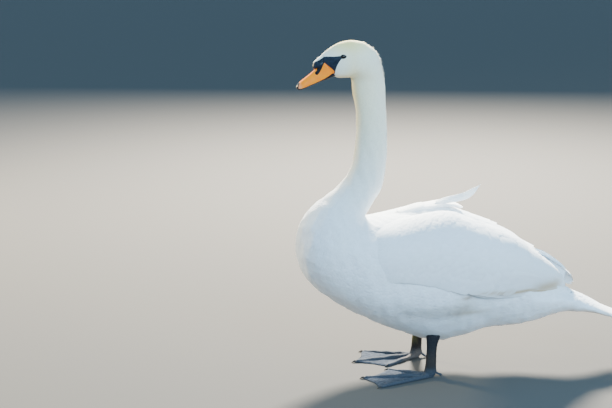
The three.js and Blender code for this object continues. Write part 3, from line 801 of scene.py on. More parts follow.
def plumage_material(name, barbs, painted_glow=0.0):
    """White plumage. barbs is the spacing of the vane's fine lines in metres, 0 for down.

    The last argument is the strength of an emission painted on the vane that stands in for sunlight coming
    through it.
    """
    n = Nodes(name)
    mark = n.attribute("mark")
    cloudy = n.span(n.noise(9.0))
    soft = n.mix(cloudy, (0.985, 0.99, 1.0), (1.0, 0.995, 0.985))
    colour = n.mix(1.0, mark, soft, "MULTIPLY")
    fine = n.noise(900.0)
    colour = n.mix(n.span(fine, 0.2, 0.8, 0.0, 0.35), colour, (0.93, 0.935, 0.93), "MULTIPLY")
    if barbs:
        uv = n.node("UVMap", uv_map="vane").outputs[0]
        parts = n.node("SeparateXYZ", {0: uv})
        across, along = parts.outputs[0], parts.outputs[1]
        slant = n.math("SUBTRACT", along, n.math("MULTIPLY", n.math("ABSOLUTE", across), 0.9))
        lines = n.math("SINE", n.math("MULTIPLY", slant, 2 * math.pi / barbs))
        ruffle = n.math("MULTIPLY", lines, n.noise(60.0))
        height = n.math("ADD", n.math("MULTIPLY", ruffle, 0.5), n.math("MULTIPLY", fine, 0.4))
        n.set(Normal=n.bump(height, 0.35, 0.0004))
    else:
        n.set(Normal=n.bump(fine, 0.4, 0.0004))
    n.set(Base_Color=colour, Roughness=0.82)
    # A painted glow: emission that stands in for sunlight coming through the vane.
    if painted_glow:
        n.set(Emission_Color=(1.0, 0.985, 0.95), Emission_Strength=painted_glow)
    n.set(Sheen_Weight=0.25, Sheen_Roughness=0.45, Specular_IOR_Level=0.25)
    return n.material


down_material = plumage_material("plumage_down", 0)
vane_material = plumage_material("plumage_vane", 0.0011)
# The loosened scapulars and plume get a painted glow.
glowing_loose_material = plumage_material("plumage_loose_glowing", 0.0011, 0.3)

# ---- surfaces of the bird ----
PER_STATION, TAIL_STEPS = 12, 10
SIDES = {"left": -1, "right": 1}
# how far the plumage swells and dips, at stations of the body
BODY_RELIEF = np.interp(np.arange(len(BODY)), [0, 3, 13, 17, 21, 24, 29],
                        [0.2, 0.7, 0.8, 0.6, 0.4, 0.15, 0])
BUMPS = [(30, 0.75), (14, 0.65)]  # size across and height of its swells and dips
TUCK_FRONT, TUCK_REAR = (225, 265), (398, 372)  # where the rump's tuck fades in and out again


def at_stations(u, values):
    """Values given for stations of the body, read at rows of its patch."""
    return np.interp(np.asarray(u) / PER_STATION, np.arange(len(values)), values)


def body_patch():
    """The body with its flanks' bulges and the plumage's own unevenness."""
    plain = section_patch(BODY, PER_STATION, 120)
    push = np.zeros((plain.rows, plain.columns))
    near = PER_STATION * NECK_BASE
    for sign in SIDES.values():
        flank = Solid(*shut(thigh_patch(sign).points))
        inside = flank.depth(plain.points[:near].reshape(-1, 3)).reshape(near, -1) > 0
        for i, j in zip(*np.nonzero(inside)):
            hit = flank.tree.ray_cast(Vector(plain.points[i, j]), Vector(plain.fields[i, j, 3:6]))
            push[i, j] = hit[3] or 0
    relief = at_stations(np.arange(plain.rows), BODY_RELIEF)
    uneven = sum(height * waves(plain.points, size) for size, height in BUMPS)
    height = blurred(push, FLANK_SOFTENING) + relief[:, None] * uneven
    points = plain.points + plain.fields[..., 3:6] * height[..., None]
    x, y, z = points[..., 0], np.abs(points[..., 1]), points[..., 2]
    edge_y, edge_z = (np.interp(x, WING[:, 0], WING[:, column]) for column in (6, 7))
    under = slow(-24, 0, z - edge_z) * slow(*TUCK_FRONT, x) * slow(*TUCK_REAR, x)
    points[..., 1] -= np.sign(points[..., 1]) * np.maximum(y - edge_y + RUMP_TUCK, 0) * under
    return Patch(points, True)


body = body_patch()
body_depth = through(BODY, PER_STATION)[:, 7]
tail = section_patch(TAIL, TAIL_STEPS, 60)
tail_depth = through(TAIL, TAIL_STEPS)[:, 7]
wings = {side: wing_patches(side, sign) for side, sign in SIDES.items()}


def wing_solid(side, inset=0.0, until=None):
    """A folded wing as a solid, its outer surface sunk by inset, as far back as x until."""
    outer, inner = wings[side]
    rows = outer.rows if until is None else int((outer.points[:, 0, 0] < until).sum())
    return shell(outer.offset(-inset)[:rows], inner.points[:rows])


body_solid = Solid(*shut(body.points))
wing_solids = {side: Solid(*wing_solid(side)) for side in SIDES}

# ---- skin ----
SKIN_VOXEL, SKIN_SOFTENING = 3.6, 6
SKIN_SHARE = 0.42  # how much of the coat's depth lies over the skin
WING_SKIN_DEPTH = 4.5
TAIL_SKIN_ROWS = 30


def make_skin():
    """The closed skin under the plumage of the body, the tail's root and both wings."""
    parts = [shut(body.offset(-SKIN_SHARE * body_depth)), shut(tail.offset(-tail_depth)[:TAIL_SKIN_ROWS])]
    parts += [wing_solid(side, WING_SKIN_DEPTH, WING_DIVISION - 6) for side in SIDES]
    skin = remeshed("skin", parts, SKIN_VOXEL, SKIN_SOFTENING)
    paint(skin, mark=marked(positions(skin)))
    flesh = ["trunk", "neck_lower", "neck_middle", "neck_upper", "head", "tail"]
    flesh += [f"{part}_{side}" for part in ("thigh", "wing", "flight_feathers") for side in SIDES]
    finish_piece(skin, down_material, flesh)


make_skin()

# ---- coat of the head, neck and body ----
# spacing of the feathers at stations of the body, from the rump's end to the bill
SPACING = np.interp(np.arange(len(BODY)), [0, 3, 10, 13, 15, 17, 19, 21, 23, 26, 29],
                    [4.6, 5.2, 4.6, 3.9, 3.5, 3.1, 2.7, 2.4, 1.9, 1.65, 1.4])


def body_spacing(u):
    """The gap between feathers at rows of the body's patch."""
    return at_stations(u, SPACING)


# The bare skin of the face seen from the side, from the bill's base back to the eye.
MASK_TOP = [(-279, 794), (-268, 796.5), (-257, 797.5), (-246, 798), (-236, 798), (-228, 798.8),
            (-221, 799.6)]
MASK_REAR = [(-218, 794), (-222.5, 789), (-227, 782), (-230.5, 775), (-232.5, 768), (-233.6, 760),
             (-234, 752)]
MASK = np.array(MASK_TOP + MASK_REAR + [(-236, 740), (-262, 738), (-290, 770)], float)
MASK_FLOOR = 11.0


EYE = np.array([-215.6, 23.9, 797.0])
LIDS_HALF = (8.55, 5.78)


def outline_distance(x, z, outline):
    """Signed distance to a closed outline, positive inside."""
    best, inside = np.full(len(x), 1e9), np.zeros(len(x), bool)
    for (x0, z0), (x1, z1) in zip(outline, np.roll(outline, -1, 0)):
        dx, dz = x1 - x0, z1 - z0
        inside ^= ((z0 > z) != (z1 > z)) & (x < dx * (z - z0) / (dz + 1e-12) + x0)
        t = np.clip(((x - x0) * dx + (z - z0) * dz) / (dx * dx + dz * dz), 0, 1)
        best = np.minimum(best, np.hypot(x - x0 - t * dx, z - z0 - t * dz))
    return np.where(inside, best, -best)


def bare(points):
    """Whether points of the head lie on bare skin: the mask and the lids."""
    x, aside, z = points[:, 0], np.abs(points[:, 1]), points[:, 2]
    masked = (outline_distance(x, z, MASK) > 0) & (aside > MASK_FLOOR - 3)
    reach = (((points - EYE)[:, [0, 2]] / LIDS_HALF) ** 2).sum(1)
    return masked | ((reach < 1) & (aside > 12))


def body_keep(points, u):
    """Roots of the body's coat: not on bare skin, nor deep under a wing."""
    keep = np.ones(len(points), bool)
    head = u > PER_STATION * THROAT
    keep[head] = ~bare(points[head])
    low = np.flatnonzero(u < PER_STATION * NECK_BASE)
    for solid in wing_solids.values():
        keep[low[solid.depth(points[low]) > UNDER_WING]] = False
    return keep


UNDER_WING = 9  # the body's coat reaches this deep into a wing
# each region's first and last station
REGIONS = [("coat_head", HEAD_BASE, BILL_BASE), ("coat_neck", NECK_BASE, HEAD_BASE),
           ("coat_breast", 13, NECK_BASE), ("coat_chest", 9.5, 13), ("coat_belly", 7, 9.5),
           ("coat_flank", RUMP_END, 7), ("coat_rump", 0, RUMP_END)]
NAPE = (-172, 745, 15)  # behind x, above z and within y of the middle, some feathers stand up
NAPE_SHARE, NAPE_RISE = 0.10, (1.6, 4.6)
TIP_DEPTH = 0.10  # the feathers' tips end this much of the coat's depth under its top
TUFT_LENGTH, TUFT_WIDTH = 3.7, 1.95  # of the spacing


def coat_region(name, first, last):
    """The small loose feathers between two stations of the body."""
    u, v = scatter(body, body_spacing, body_keep,
                   (int(first * PER_STATION), min(int(last * PER_STATION), body.rows - 1)))
    gap, depth, count = body_spacing(u), np.interp(u, np.arange(body.rows), body_depth), len(u)
    ragged = rng.random(count)
    calm = np.interp(u / PER_STATION, [NECK_BASE - 2, NECK_BASE + 1], [0.98, 1.0])
    rise = np.where(ragged > calm, TIP_DEPTH * depth, 0) + rng.normal(0, 0.006, count) * depth
    rooted = np.interp(u / PER_STATION, [NECK_TOP, THROAT + 2], [0.46, 0.72])
    roots, _, _, _ = body.read(u, v)
    nape = (roots[:, 0] > NAPE[0]) & (roots[:, 2] > NAPE[1]) & (np.abs(roots[:, 1]) < NAPE[2])
    rise = np.where(nape & (ragged < NAPE_SHARE), rng.uniform(*NAPE_RISE, count), rise)
    vane = TUFT if first < NECK_BASE else WISP
    long = 1 + 0.6 * np.clip(1 - u / (RUMP_END * PER_STATION), 0, 1)  # the rump's feathers are longer
    length = gap * TUFT_LENGTH * long * rng.uniform(0.85, 1.2, count)
    coat = Coat(name)
    coat.add(grow(body, u, v, vane, length, gap * TUFT_WIDTH * long, -rooted * depth,
                  -TIP_DEPTH * depth, gap * 0.05, way=-1, sway=rng.normal(0, 0.13, count), rise=rise,
                  camber=0.04 * gap, curl=0.18))
    coat.make(down_material)


for region in REGIONS:
    coat_region(*region)

# ---- wings ----
# x of the roots, feather length and width for the graded coverts of the folded wing
COVERT_GRADE = np.array([[-196, 17, 9.5], [-150, 22, 12], [-100, 30, 16], [-40, 40, 20],
                         [20, 52, 25], [80, 66, 30], [130, 80, 34]], float)
COVERT_START, COVERT_END = -196.0, 128.0
OVERLAP_ALONG, OVERLAP_ACROSS = 0.33, 0.62
COVERT_SLANT = 22.0  # how much further back a row's lower end starts
WING_SPREAD = 0.012  # how much one of its feathers is lighter or darker than the next
CLOSING_REACH = (285, 392)  # the x over which the two wings' tips stand apart
CLOSING_OVERLAP, CLOSING_HALF = 9, 3
# The long feathers' rows from the lowest layer up, on the wing's outer surface (0) or its inner (1).
# coat, surface, count, x, place across, x of the ends, width, low, high, vane, taper, stack
WING_ROWS = [
    ("flight", 0, 11, (200, 214), (0.985, 0.03), (387, 380), (25, 30), -8, -2.2, POINTED, 0.62, 0.12),
    ("flight", 0, 8, (60, 150), (0.985, 0.48), (352, 306), (36, 42), -8, -1.5, LARGE, 0.25, 0.08),
    ("flight", 0, 7, (126, 118), (0.50, 0.03), (300, 284), (42, 42), -7, -0.9, LARGE, 0.15, 0.06),
    ("wing", 0, 9, (78, 108), (0.955, 0.34), (176, 206), (34, 38), -5.0, -0.5, LARGE, 0.0, 0.03),
    ("wing", 0, 6, (74, 96), (0.32, 0.03), (172, 194), (34, 38), -5.0, -0.3, LARGE, 0.0, 0.03),
    ("underwing", 1, 13, (196, 225), (0.985, 0.03), (386, 379), (26, 28), -1.5, 0.2, POINTED, 0.6, 0),
    ("underwing", 1, 15, (190, 205), (0.99, 0.03), (312, 300), (34, 38), -0.5, 1.0, LARGE, 0.2, 0),
    ("underwing", 1, 15, (182, 190), (0.99, 0.03), (246, 240), (30, 34), 0.5, 2.0, LARGE, 0.0, 0),
]


def row_at(patch, x):
    """The place u of an x on a patch whose rows run backwards."""
    return np.interp(x, patch.points[:, 0, 0], np.arange(patch.rows))


def wing_coverts(side):
    """The small graded feathers over the front of a folded wing."""
    patch, sign = wings[side][0], SIDES[side]
    rows = []
    x = COVERT_START
    while x < COVERT_END:
        length, width = (np.interp(x, COVERT_GRADE[:, 0], COVERT_GRADE[:, k]) for k in (1, 2))
        line = patch.points[min(int(round(float(row_at(patch, x)))), patch.rows - 1)]
        reach = np.linalg.norm(np.diff(line, axis=0), axis=1).sum()
        count = max(int(reach / (width * OVERLAP_ACROSS)), 3)
        place = (np.arange(count) + 0.5 * (len(rows) % 2) + 0.25 + rng.normal(0, 0.16, count)) / count
        slant = COVERT_SLANT * (place - 0.5) + rng.normal(0, 0.22, count) * length * OVERLAP_ALONG
        root = np.maximum(x + slant * min(1, (x - COVERT_START) / 60), COVERT_START - 2)
        rows.append([row_at(patch, root), np.minimum(place, 0.95) * (patch.columns - 1),
                     length * rng.uniform(0.9, 1.1, count), width * rng.uniform(0.92, 1.1, count)])
        x += length * OVERLAP_ALONG
    u, v, length, width = np.concatenate(rows, axis=1)
    points, _, _, _ = patch.read(u, v)
    keep = (body_solid.depth(points) < 10) & (v < patch.columns - 0.5)
    return grow(patch, u[keep], v[keep], COVERT, length[keep], width[keep] * 1.3, -2.4, -0.25, 0.16,
                stiff=0.6, sway=rng.normal(0.0, 0.05, keep.sum()) + 0.05 * sign, camber=0.3,
                tilt=0.12 * sign, curl=0.1)


def wing_row(side, surface, count, x, s, ends, width, low, high, vane, taper, stack):
    """One row of long feathers. x, s, ends and width run from the row's first to its last.

    Each lies over the one before it by stack.
    """
    patch, sign = wings[side][surface], SIDES[side] * (1, -1)[surface]
    t = np.linspace(0, 1, count)
    run = lambda pair: pair[0] + (pair[1] - pair[0]) * t
    xs, v = run(x) + rng.normal(0, 3.0, count), run(s) * (patch.columns - 1)
    reach = np.vstack([np.zeros(patch.columns),
                       np.linalg.norm(np.diff(patch.points, axis=0), axis=2).cumsum(0)])
    line = patch.points[:, 0, 0]
    tips = run([stretch(end, side) for end in ends]) + rng.normal(0, 2.5, count)
    length = np.array([np.interp(tip, line, reach[:, c]) - np.interp(start, line, reach[:, c])
                       for tip, start, c in zip(tips, xs, np.round(v).astype(int))])
    return grow(patch, row_at(patch, xs), v, vane, length, run(width), low,
                high + stack * np.arange(count), 0.7, stiff=0.7, sway=rng.normal(0, 0.01, count),
                camber=0.5, tilt=0.25 * sign, curl=0.1, taper=taper)


def closing_patch(rows=30, columns=12):
    """The step between the two wings' tips, from the far wing's middle edge down to the near one."""
    far, near = (wings[side][0].points[:, 1] for side in ("right", "left"))
    x = np.linspace(*CLOSING_REACH, rows)
    top = np.interp(x, far[:, 0], far[:, 2]) - 0.5
    low = np.minimum(np.interp(x, near[:, 0], near[:, 2]) - CLOSING_OVERLAP, top - 2)
    down = np.linspace(0, 1, columns)
    cells = np.stack(np.broadcast_arrays(x[:, None], CLOSING_HALF * (1 - 2 * down),
                                         top[:, None] + (low - top)[:, None] * down), axis=-1)
    return Patch(cells, False).facing(1, -1)


def closing_feathers(count=7):
    """Narrow feathers that close the step between the wings' tips."""
    patch = closing_patch()
    v = np.linspace(0.08, 0.92, count) * (patch.columns - 1)
    return grow(patch, np.zeros(count), v, POINTED, 112, 12, -1.0, -0.2, 0.5, stiff=0.3, camber=0.3,
                curl=0.1, taper=0.3)


def feather_wing(side):
    """The coats of one folded wing: its coverts, its flight feathers and its underside."""
    coats = {part: Coat(f"coat_{part}_{side}", wing_marked) for part in ("wing", "flight", "underwing")}
    coats["wing"].add(wing_coverts(side), WING_SPREAD)
    for part, *row in WING_ROWS:
        coats[part].add(wing_row(side, *row), WING_SPREAD)
    if side == "right":
        coats["flight"].add(closing_feathers(), WING_SPREAD)
    for coat in coats.values():
        coat.make(vane_material)


for side in SIDES:
    feather_wing(side)

# ---- raised scapulars and the loose plume of the right wing ----
# x, top, y, half width, thickness, roll
SCAPULARS = np.array([[-60, 408, 44, 20, 14, 0], [-15, 418, 44, 25, 18, 0], [25, 422, 42, 26, 18, 0.05],
                      [55, 425, 41, 22, 14, 0.1], [78, 422, 40, 16, 10, 0.15],
                      [97, 413, 40, 10, 6, 0.15], [107, 407, 40, 5, 4, 0.15]])
PLUME = np.array([[30, 424, 34, 8, 3, 0.3], [60, 428.5, 33, 10.5, 3.5, 0.6], [88, 433, 32, 10.5, 3.5, 0.75],
                  [108, 438, 31, 10, 3.5, 0.8], [124, 447, 30, 8.5, 3, 0.8], [137, 457, 30, 4, 2, 0.8]])


def band_patch(stations, steps=10, columns=24, round_down=0.5):
    """The upper surface of a flat oval band, rolled about its length."""
    rows = []
    for x, top, y, half, thick, roll in through(stations, steps):
        a = np.linspace(-1, 1, columns)
        drop = round_down * thick * (1 - np.sqrt(np.maximum(1 - (0.93 * a) ** 2, 0)))
        rows.append(np.stack([np.full(columns, x),
                              y + half * a * math.cos(roll) + drop * math.sin(roll),
                              top + half * a * math.sin(roll) - drop * math.cos(roll)], axis=1))
    return Patch(np.array(rows), False).facing(2, 1)


def scapulars():
    """Rows of long feathers over the lifted shoulder, each with its first row, length and width."""
    patch, coat = band_patch(SCAPULARS), Coat("scapulars_right_feathers", painted_sunlit)
    for count, first, length, width in ((7, 0, 62, 19), (8, 10, 60, 18), (8, 20, 56, 17),
                                        (7, 30, 46, 14), (5, 38, 34, 10)):
        v = (np.linspace(0.08, 0.92, count) + rng.normal(0, 0.02, count)) * (patch.columns - 1)
        u = first + rng.normal(0, 1.2, count)
        length = length * rng.uniform(0.9, 1.1, count)
        coat.add(grow(patch, u, v, LARGE, length, width, -3.5, -0.3, 0.7, stiff=0.5,
                      sway=rng.normal(0, 0.04, count), camber=0.5, curl=0.12))
    coat.make(glowing_loose_material, ["scapulars_right"])


def plume():
    """Five narrow feathers, each with its place across, first row, length, width and height."""
    patch, coat = band_patch(PLUME, round_down=0.25), Coat("plume_right_feathers", painted_sunlit)
    for place, first, length, width, low in ((0.26, 0, 124, 11, -0.9), (0.74, 1, 121, 11, -0.6),
                                             (0.5, 0, 131, 15, -0.3), (0.40, 12, 84, 11, 0.1),
                                             (0.62, 16, 72, 10, 0.1)):
        coat.add(grow(patch, [first], [place * (patch.columns - 1)], POINTED, length, width, low,
                      low + 0.4, 0.8, stiff=0.3, camber=0.4, curl=0.2))
    coat.make(glowing_loose_material, ["plume_right"])


scapulars()
plume()

# ---- tail ----
TAIL_ROOT = 405.0  # x of the long feathers' roots
TAIL_ROUNDING = 78  # how much further forward the outermost of them ends
TAIL_FAN, TAIL_COVERT_FAN = 12.5, 15  # half widths of the rows, in columns of the tail's patch
# x of the roots, length, width and count of each row of coverts over them
TAIL_COVERTS = [(446, 66, 18, 13), (436, 58, 16, 15), (426, 50, 15, 16), (416, 44, 14, 17)]


def tail_coat():
    """A fan of long feathers with rows of coverts over its roots, above and again below."""
    coat = Coat("coat_tail")
    for middle, shorter, size in ((0, 0, 1.0), (tail.columns / 2, 3, 1.25)):
        spread = np.linspace(-1, 1, 11)
        u = np.full(11, row_at(tail, TAIL_ROOT))
        length = TAIL_END - TAIL_ROUNDING * np.abs(spread) ** 1.3 - shorter - TAIL_ROOT
        coat.add(grow(tail, u, middle + spread * TAIL_FAN, POINTED, length, 26, -4.0, -0.3, 0.9, stiff=0.5,
                      camber=0.5, tilt=0.3, curl=0.12), WING_SPREAD)
        for x, length, width, count in TAIL_COVERTS:
            u = row_at(tail, x) + rng.normal(0, 0.5, count)
            v = middle + np.linspace(-1, 1, count) * TAIL_COVERT_FAN
            length = length * size * rng.uniform(0.9, 1.1, count)
            coat.add(grow(tail, u, v, COVERT, length, width * 1.2, -3.2, -0.1, 0.4, camber=0.35,
                          sway=rng.normal(0, 0.05, count), curl=0.12), WING_SPREAD)
    coat.make(vane_material)


tail_coat()

# ---- bare skin of the face, lids and eyes ----
# The black skin round the knob's foot and down to the nostril, seen from the side.
CHANNEL = np.array([(-259.0, 783), (-262.6, 776), (-264.8, 770.5), (-267.2, 765.2), (-270.3, 760),
                    (-273.3, 756), (-276.2, 753.8), (-279.2, 753.9), (-281.4, 755.8), (-281.6, 758.6),
                    (-279.6, 761.4), (-276.8, 764.4), (-276, 768), (-280, 772.5), (-296, 784), (-290, 800),
                    (-262, 806), (-252, 790)], float)
# The corner of the mask over the eye, and its front edge down the bill's base.
MASK_CORNER = (-218.5, 798)
MASK_FRONT = [(-276, 791), (-271, 782), (-260, 765), (-249, 753.5), (-243, 751), (-236, 750)]
MASK_ROWS, MASK_COLUMNS, MASK_SOFTENING = 60, 56, 24
MASK_PROUD, MASK_SUNK, MASK_THICK = 0.8, 0.35, 3.0  # its edges lie in the coat, its middle over it
# Where the horn's orange runs over the rear of the bill's base, as far as the corner of the mouth.
ORANGE_BASE = np.array([(-259.5, 782.5), (-250, 774.8), (-242, 768.3), (-237, 763.2), (-235.6, 760),
                        (-237, 757.6), (-242, 755.2), (-249, 752), (-262, 745), (-290, 745),
                        (-285, 753), (-277.5, 755), (-271, 763), (-265, 773)], float)
# Centres and half sizes of the lumps that make the knob, with its foot down both sides of the bill.
KNOB_LUMPS = [((-272.8, 0, 779.3), (14.6, 11, 8.8)), ((-268.5, 8.5, 777.5), (11, 6.5, 6.5)),
              ((-268.5, -8.5, 777.5), (11, 6.5, 6.5)), ((-279.5, 0, 772.5), (6.5, 9.5, 6.5)),
              ((-264.5, 0, 787), (9, 13, 6.5)), ((-275, 0, 784.3), (12, 8.5, 4.4)),
              ((-268.5, 0, 787), (10, 11, 6)), ((-264, 0, 781), (12, 14, 7))]
KNOB_TILT = math.radians(-37)
FACE_VOXEL, FACE_SOFTENING = 0.7, 16
PEAK_FRONT, PEAK_REAR, PEAK_HALF = -284.6, -257.0, 9.2  # the white point over the knob
EYE_OPENING, EYE_TILT = (6.7, 3.8), 0.16
# Above and beyond these, the upper lid's outer rim carries a painted rim highlight.
LID_RIM_UP, LID_RIM_ASIDE = 2.2, 27.4  # over the eye's middle and from the mid plane
EYEBALL, IRIS_EDGE = (7.4, 5.4, 5.6), 5.2
BILL_ORANGE, BILL_AMBER, BILL_PINK = (1.0, 0.22, 0.0), (1.0, 0.29, 0.0), (0.97, 0.52, 0.34)
# An emission painted on the bill and on the face's bare skin, a glow that stands in for the daylight that
# thin living horn lets through.
HORN_PAINTED_GLOW = 0.16  # the daylight that thin living horn lets through
FOREHEAD_WHITE = (0.93, 0.90, 0.78)

bill = section_patch(UPPER_BILL, 26, 160)
bill_solid = Solid(*shut(bill.points))


def from_side(solid, x, z, sign):
    """Where a level line at (x, z) meets a solid from the side."""
    return solid.tree.ray_cast(Vector((x, sign * 80, z)), Vector((0, -sign, 0)))


def on_head(x, z, sign):
    """The point and normal of the head's side at (x, z)."""
    hit = from_side(body_solid, x, z, sign)
    if hit[0] is None or hit[0][1] * sign < 0:
        hit = body_solid.tree.find_nearest(Vector((x, sign * 8, z)))
    return np.array(hit[:2])


def on_face(x, z, sign):
    """The point and normal of the outermost of the head's side and the bill's side at (x, z)."""
    head, hit = on_head(x, z, sign), from_side(bill_solid, x, z, sign)
    proud = hit[0] is not None and hit[0][1] * sign > head[0, 1] * sign
    return np.array(hit[:2]) if proud else head


def line_through(points, count):
    """Evenly read points of an open line."""
    points = np.array([(x, 0, z) for x, z in points], float)
    return even(points, count, False)[:, [0, 2]]


def softened(values, times):
    """An open grid of values, each cell mixed with its neighbours."""
    for _ in range(times):
        ends = np.pad(values, 1, mode="edge")
        values = (4 * values + ends[:-2, 1:-1] + ends[2:, 1:-1] + ends[1:-1, :-2] + ends[1:-1, 2:]) / 8
    return values


def mask_side(sign):
    """A sheet of bare skin over one side of the face, from the eye to the bill."""
    top = line_through([MASK_FRONT[0], *MASK_TOP[1:], MASK_CORNER], MASK_ROWS)
    front = line_through(MASK_FRONT, MASK_ROWS)
    rear = line_through([MASK_CORNER, *MASK_REAR], MASK_COLUMNS)
    rear[-1] = front[-1]
    back = (np.arange(MASK_ROWS) / (MASK_ROWS - 1))[:, None, None]
    down = (np.arange(MASK_COLUMNS) / (MASK_COLUMNS - 1))[:, None]
    places = blend(top[:, None], front[:, None], down) + back**2 * (rear - blend(top[-1], front[-1], down))
    hits = np.array([[on_face(x, z, sign) for x, z in row] for row in places])
    aside = np.abs(hits[..., 0, 1])
    level = softened(aside, MASK_SOFTENING)
    level = sign * np.maximum(level, (level + aside) / 2)
    found = np.stack([places[..., 0], level, places[..., 1]], axis=-1)
    edges = np.broadcast_arrays(1, 7 * back, (1 - back) * 9, down * 9, (1 - down) * 3)
    proud = MASK_PROUD * np.minimum.reduce(edges) - MASK_SUNK
    return shell(found + hits[..., 1, :] * proud, found - hits[..., 1, :] * MASK_THICK)


def ball(centre, half, rings=28, columns=48):
    """A closed ellipsoid."""
    turn = np.linspace(0.02, np.pi - 0.02, rings)[:, None]
    spin = turns(columns)[None]
    points = np.stack([np.sin(turn) * np.cos(spin), np.cos(turn) + 0 * spin,
                       np.sin(turn) * np.sin(spin)], axis=-1)
    return shut(points * np.asarray(half) + np.asarray(centre))


def ring_tube(path, radius, sides=14):
    """A round tube along a closed line of points. radius may change along it."""
    ahead = unit(np.roll(path, -1, 0) - np.roll(path, 1, 0))
    radius = np.broadcast_to(radius, len(path))[:, None, None]
    side = unit(np.cross(ahead, [0, 1, 0]))
    up = np.cross(side, ahead)
    spin = turns(sides)
    ring = (side[:, None] * np.cos(spin)[None, :, None] + up[:, None] * np.sin(spin)[None, :, None])
    vertices = (path[:, None] + ring * radius).reshape(-1, 3)
    index = np.arange(len(vertices)).reshape(len(path), sides)
    ahead = np.roll(index, -1, 0)
    return facing_out(vertices, bridged(index, np.roll(index, -1, 1), np.roll(ahead, -1, 1), ahead))


def lid(sign):
    """A ring of bare skin round the eye's opening, thicker above and pinched at the corners."""
    spin = turns(72)
    a, b = EYE_OPENING[0] * np.cos(spin), EYE_OPENING[1] * np.sin(spin)
    b = b * (1 - 0.22 * np.abs(np.cos(spin)) ** 3)
    x = EYE[0] + a * math.cos(EYE_TILT) - b * math.sin(EYE_TILT)
    z = EYE[2] + a * math.sin(EYE_TILT) + b * math.cos(EYE_TILT)
    aside = np.abs([on_head(px, pz, sign)[0, 1] for px, pz in zip(x, z)])
    y = sign * (aside * 0.5 + 0.5 * aside.mean() + 0.25)
    return ring_tube(np.stack([x, y, z], axis=1), 0.75 + 0.2 * np.maximum(np.sin(spin), 0))


def horn_colour(n):
    """The bill's orange, mottled alike on the horn and on the skin at its base."""
    return n.mix(n.span(n.noise(70.0)), BILL_ORANGE, BILL_AMBER)


def skin_black():
    """Bare black skin with fine pores, its other colours painted in where their layers are 1."""
    n = Nodes("bare_black_skin")
    pores = n.noise(1400.0, 3.0)
    blotch = n.noise(160.0, 3.0)
    colour = n.mix(n.span(blotch), (0.005, 0.009, 0.017), (0.012, 0.021, 0.038))
    # the layer pale holds the upper lids' painted rim highlight
    colour = n.mix(n.attribute("pale", "Fac"), colour, (0.62, 0.50, 0.46))
    colour = n.mix(n.attribute("horn", "Fac"), colour, horn_colour(n))
    colour = n.mix(n.attribute("downy", "Fac"), colour, FOREHEAD_WHITE)
    n.set(Base_Color=colour, Roughness=n.span(blotch, 0.3, 0.7, 0.36, 0.5))
    # Painted glow: the skin's own colour given out as emission.
    n.set(Emission_Color=colour, Emission_Strength=HORN_PAINTED_GLOW)
    n.set(Normal=n.bump(pores, 0.3, 0.0003), Specular_IOR_Level=0.25)
    n.set(Coat_Weight=0.04, Coat_Roughness=0.3)
    return n.material


def tilted_ball(centre, half):
    """One lump of the knob, which leans with the forehead."""
    vertices, faces = ball((0, 0, 0), half)
    x, y, z = vertices.T
    turned = [x * math.cos(KNOB_TILT) + z * math.sin(KNOB_TILT), y,
              -x * math.sin(KNOB_TILT) + z * math.cos(KNOB_TILT)]
    return np.stack(turned, axis=1) + centre, faces


def peak_half(x):
    """Half width of the white that comes to a blunt point over the knob's front."""
    return PEAK_HALF * np.clip((x - PEAK_FRONT + 0.6) / 16, 0.02, 1) ** 0.5


def make_face():
    """The black skin of both sides of the face and the knob's foot, in one piece."""
    parts = [mask_side(sign) for sign in SIDES.values()]
    parts += [tilted_ball(centre, half) for centre, half in KNOB_LUMPS]
    face = remeshed("face_skin", parts, FACE_VOXEL, FACE_SOFTENING)
    x, y, z = positions(face).T
    horn = slow(-0.4, 0.4, outline_distance(x, z, ORANGE_BASE)) * (np.abs(y) > MASK_FLOOR)
    peaked = slow(0.0, -1.2, np.abs(y) - peak_half(x))
    paint(face, pale=0, horn=horn,
          downy=peaked * slow(PEAK_FRONT - 1, PEAK_FRONT + 1, x) * slow(779, 782, z))
    return finish_piece(face, bare_black, ["mask_left", "mask_right", "bill_knob"])


def make_lids():
    """Both eyelids, the upper one's outer rim painted paler as a rim highlight."""
    lids = mesh_of("eyelids", *joined([lid(sign) for sign in SIDES.values()]))
    _, y, z = positions(lids).T
    # the upper lid's outer rim: a painted highlight
    rim = np.clip((z - EYE[2] - LID_RIM_UP) / 1.8, 0, 1)
    rim = rim * np.clip((np.abs(y) - LID_RIM_ASIDE) / 0.8, 0, 1)
    paint(lids, pale=0.55 * rim, horn=0, downy=0)
    finish_piece(lids, bare_black)


def eye_material():
    """A black pupil in a dark brown iris, under a clear wet coat."""
    n = Nodes("eye_dark")
    around = n.attribute("round", "Fac")
    colour = n.mix(n.span(around, 0.5, 0.58), (0.001, 0.001, 0.001), (0.014, 0.008, 0.005))
    colour = n.mix(n.span(around, 0.85, 1.0), colour, (0.006, 0.005, 0.005))
    n.set(Base_Color=colour, Roughness=0.3, Specular_IOR_Level=0.15)
    n.set(Coat_Weight=0.45, Coat_Roughness=0.03)
    return n.material


def make_eye(side, sign):
    """An eyeball, its layer round growing from 0 in the middle to 1 at the iris's edge."""
    centre = np.array([EYE[0], sign * (EYE[1] + 0.2), EYE[2]])
    piece = mesh_of(f"eyeball_{side}", *ball(centre, EYEBALL, 40, 64))
    x, _, z = (positions(piece) - centre).T
    paint(piece, round=np.hypot(x, z) / IRIS_EDGE)
    finish_piece(piece, eye_dark, [f"eye_{side}"])


bare_black, eye_dark = skin_black(), eye_material()
face = make_face()
make_lids()
for side, sign in SIDES.items():
    make_eye(side, sign)

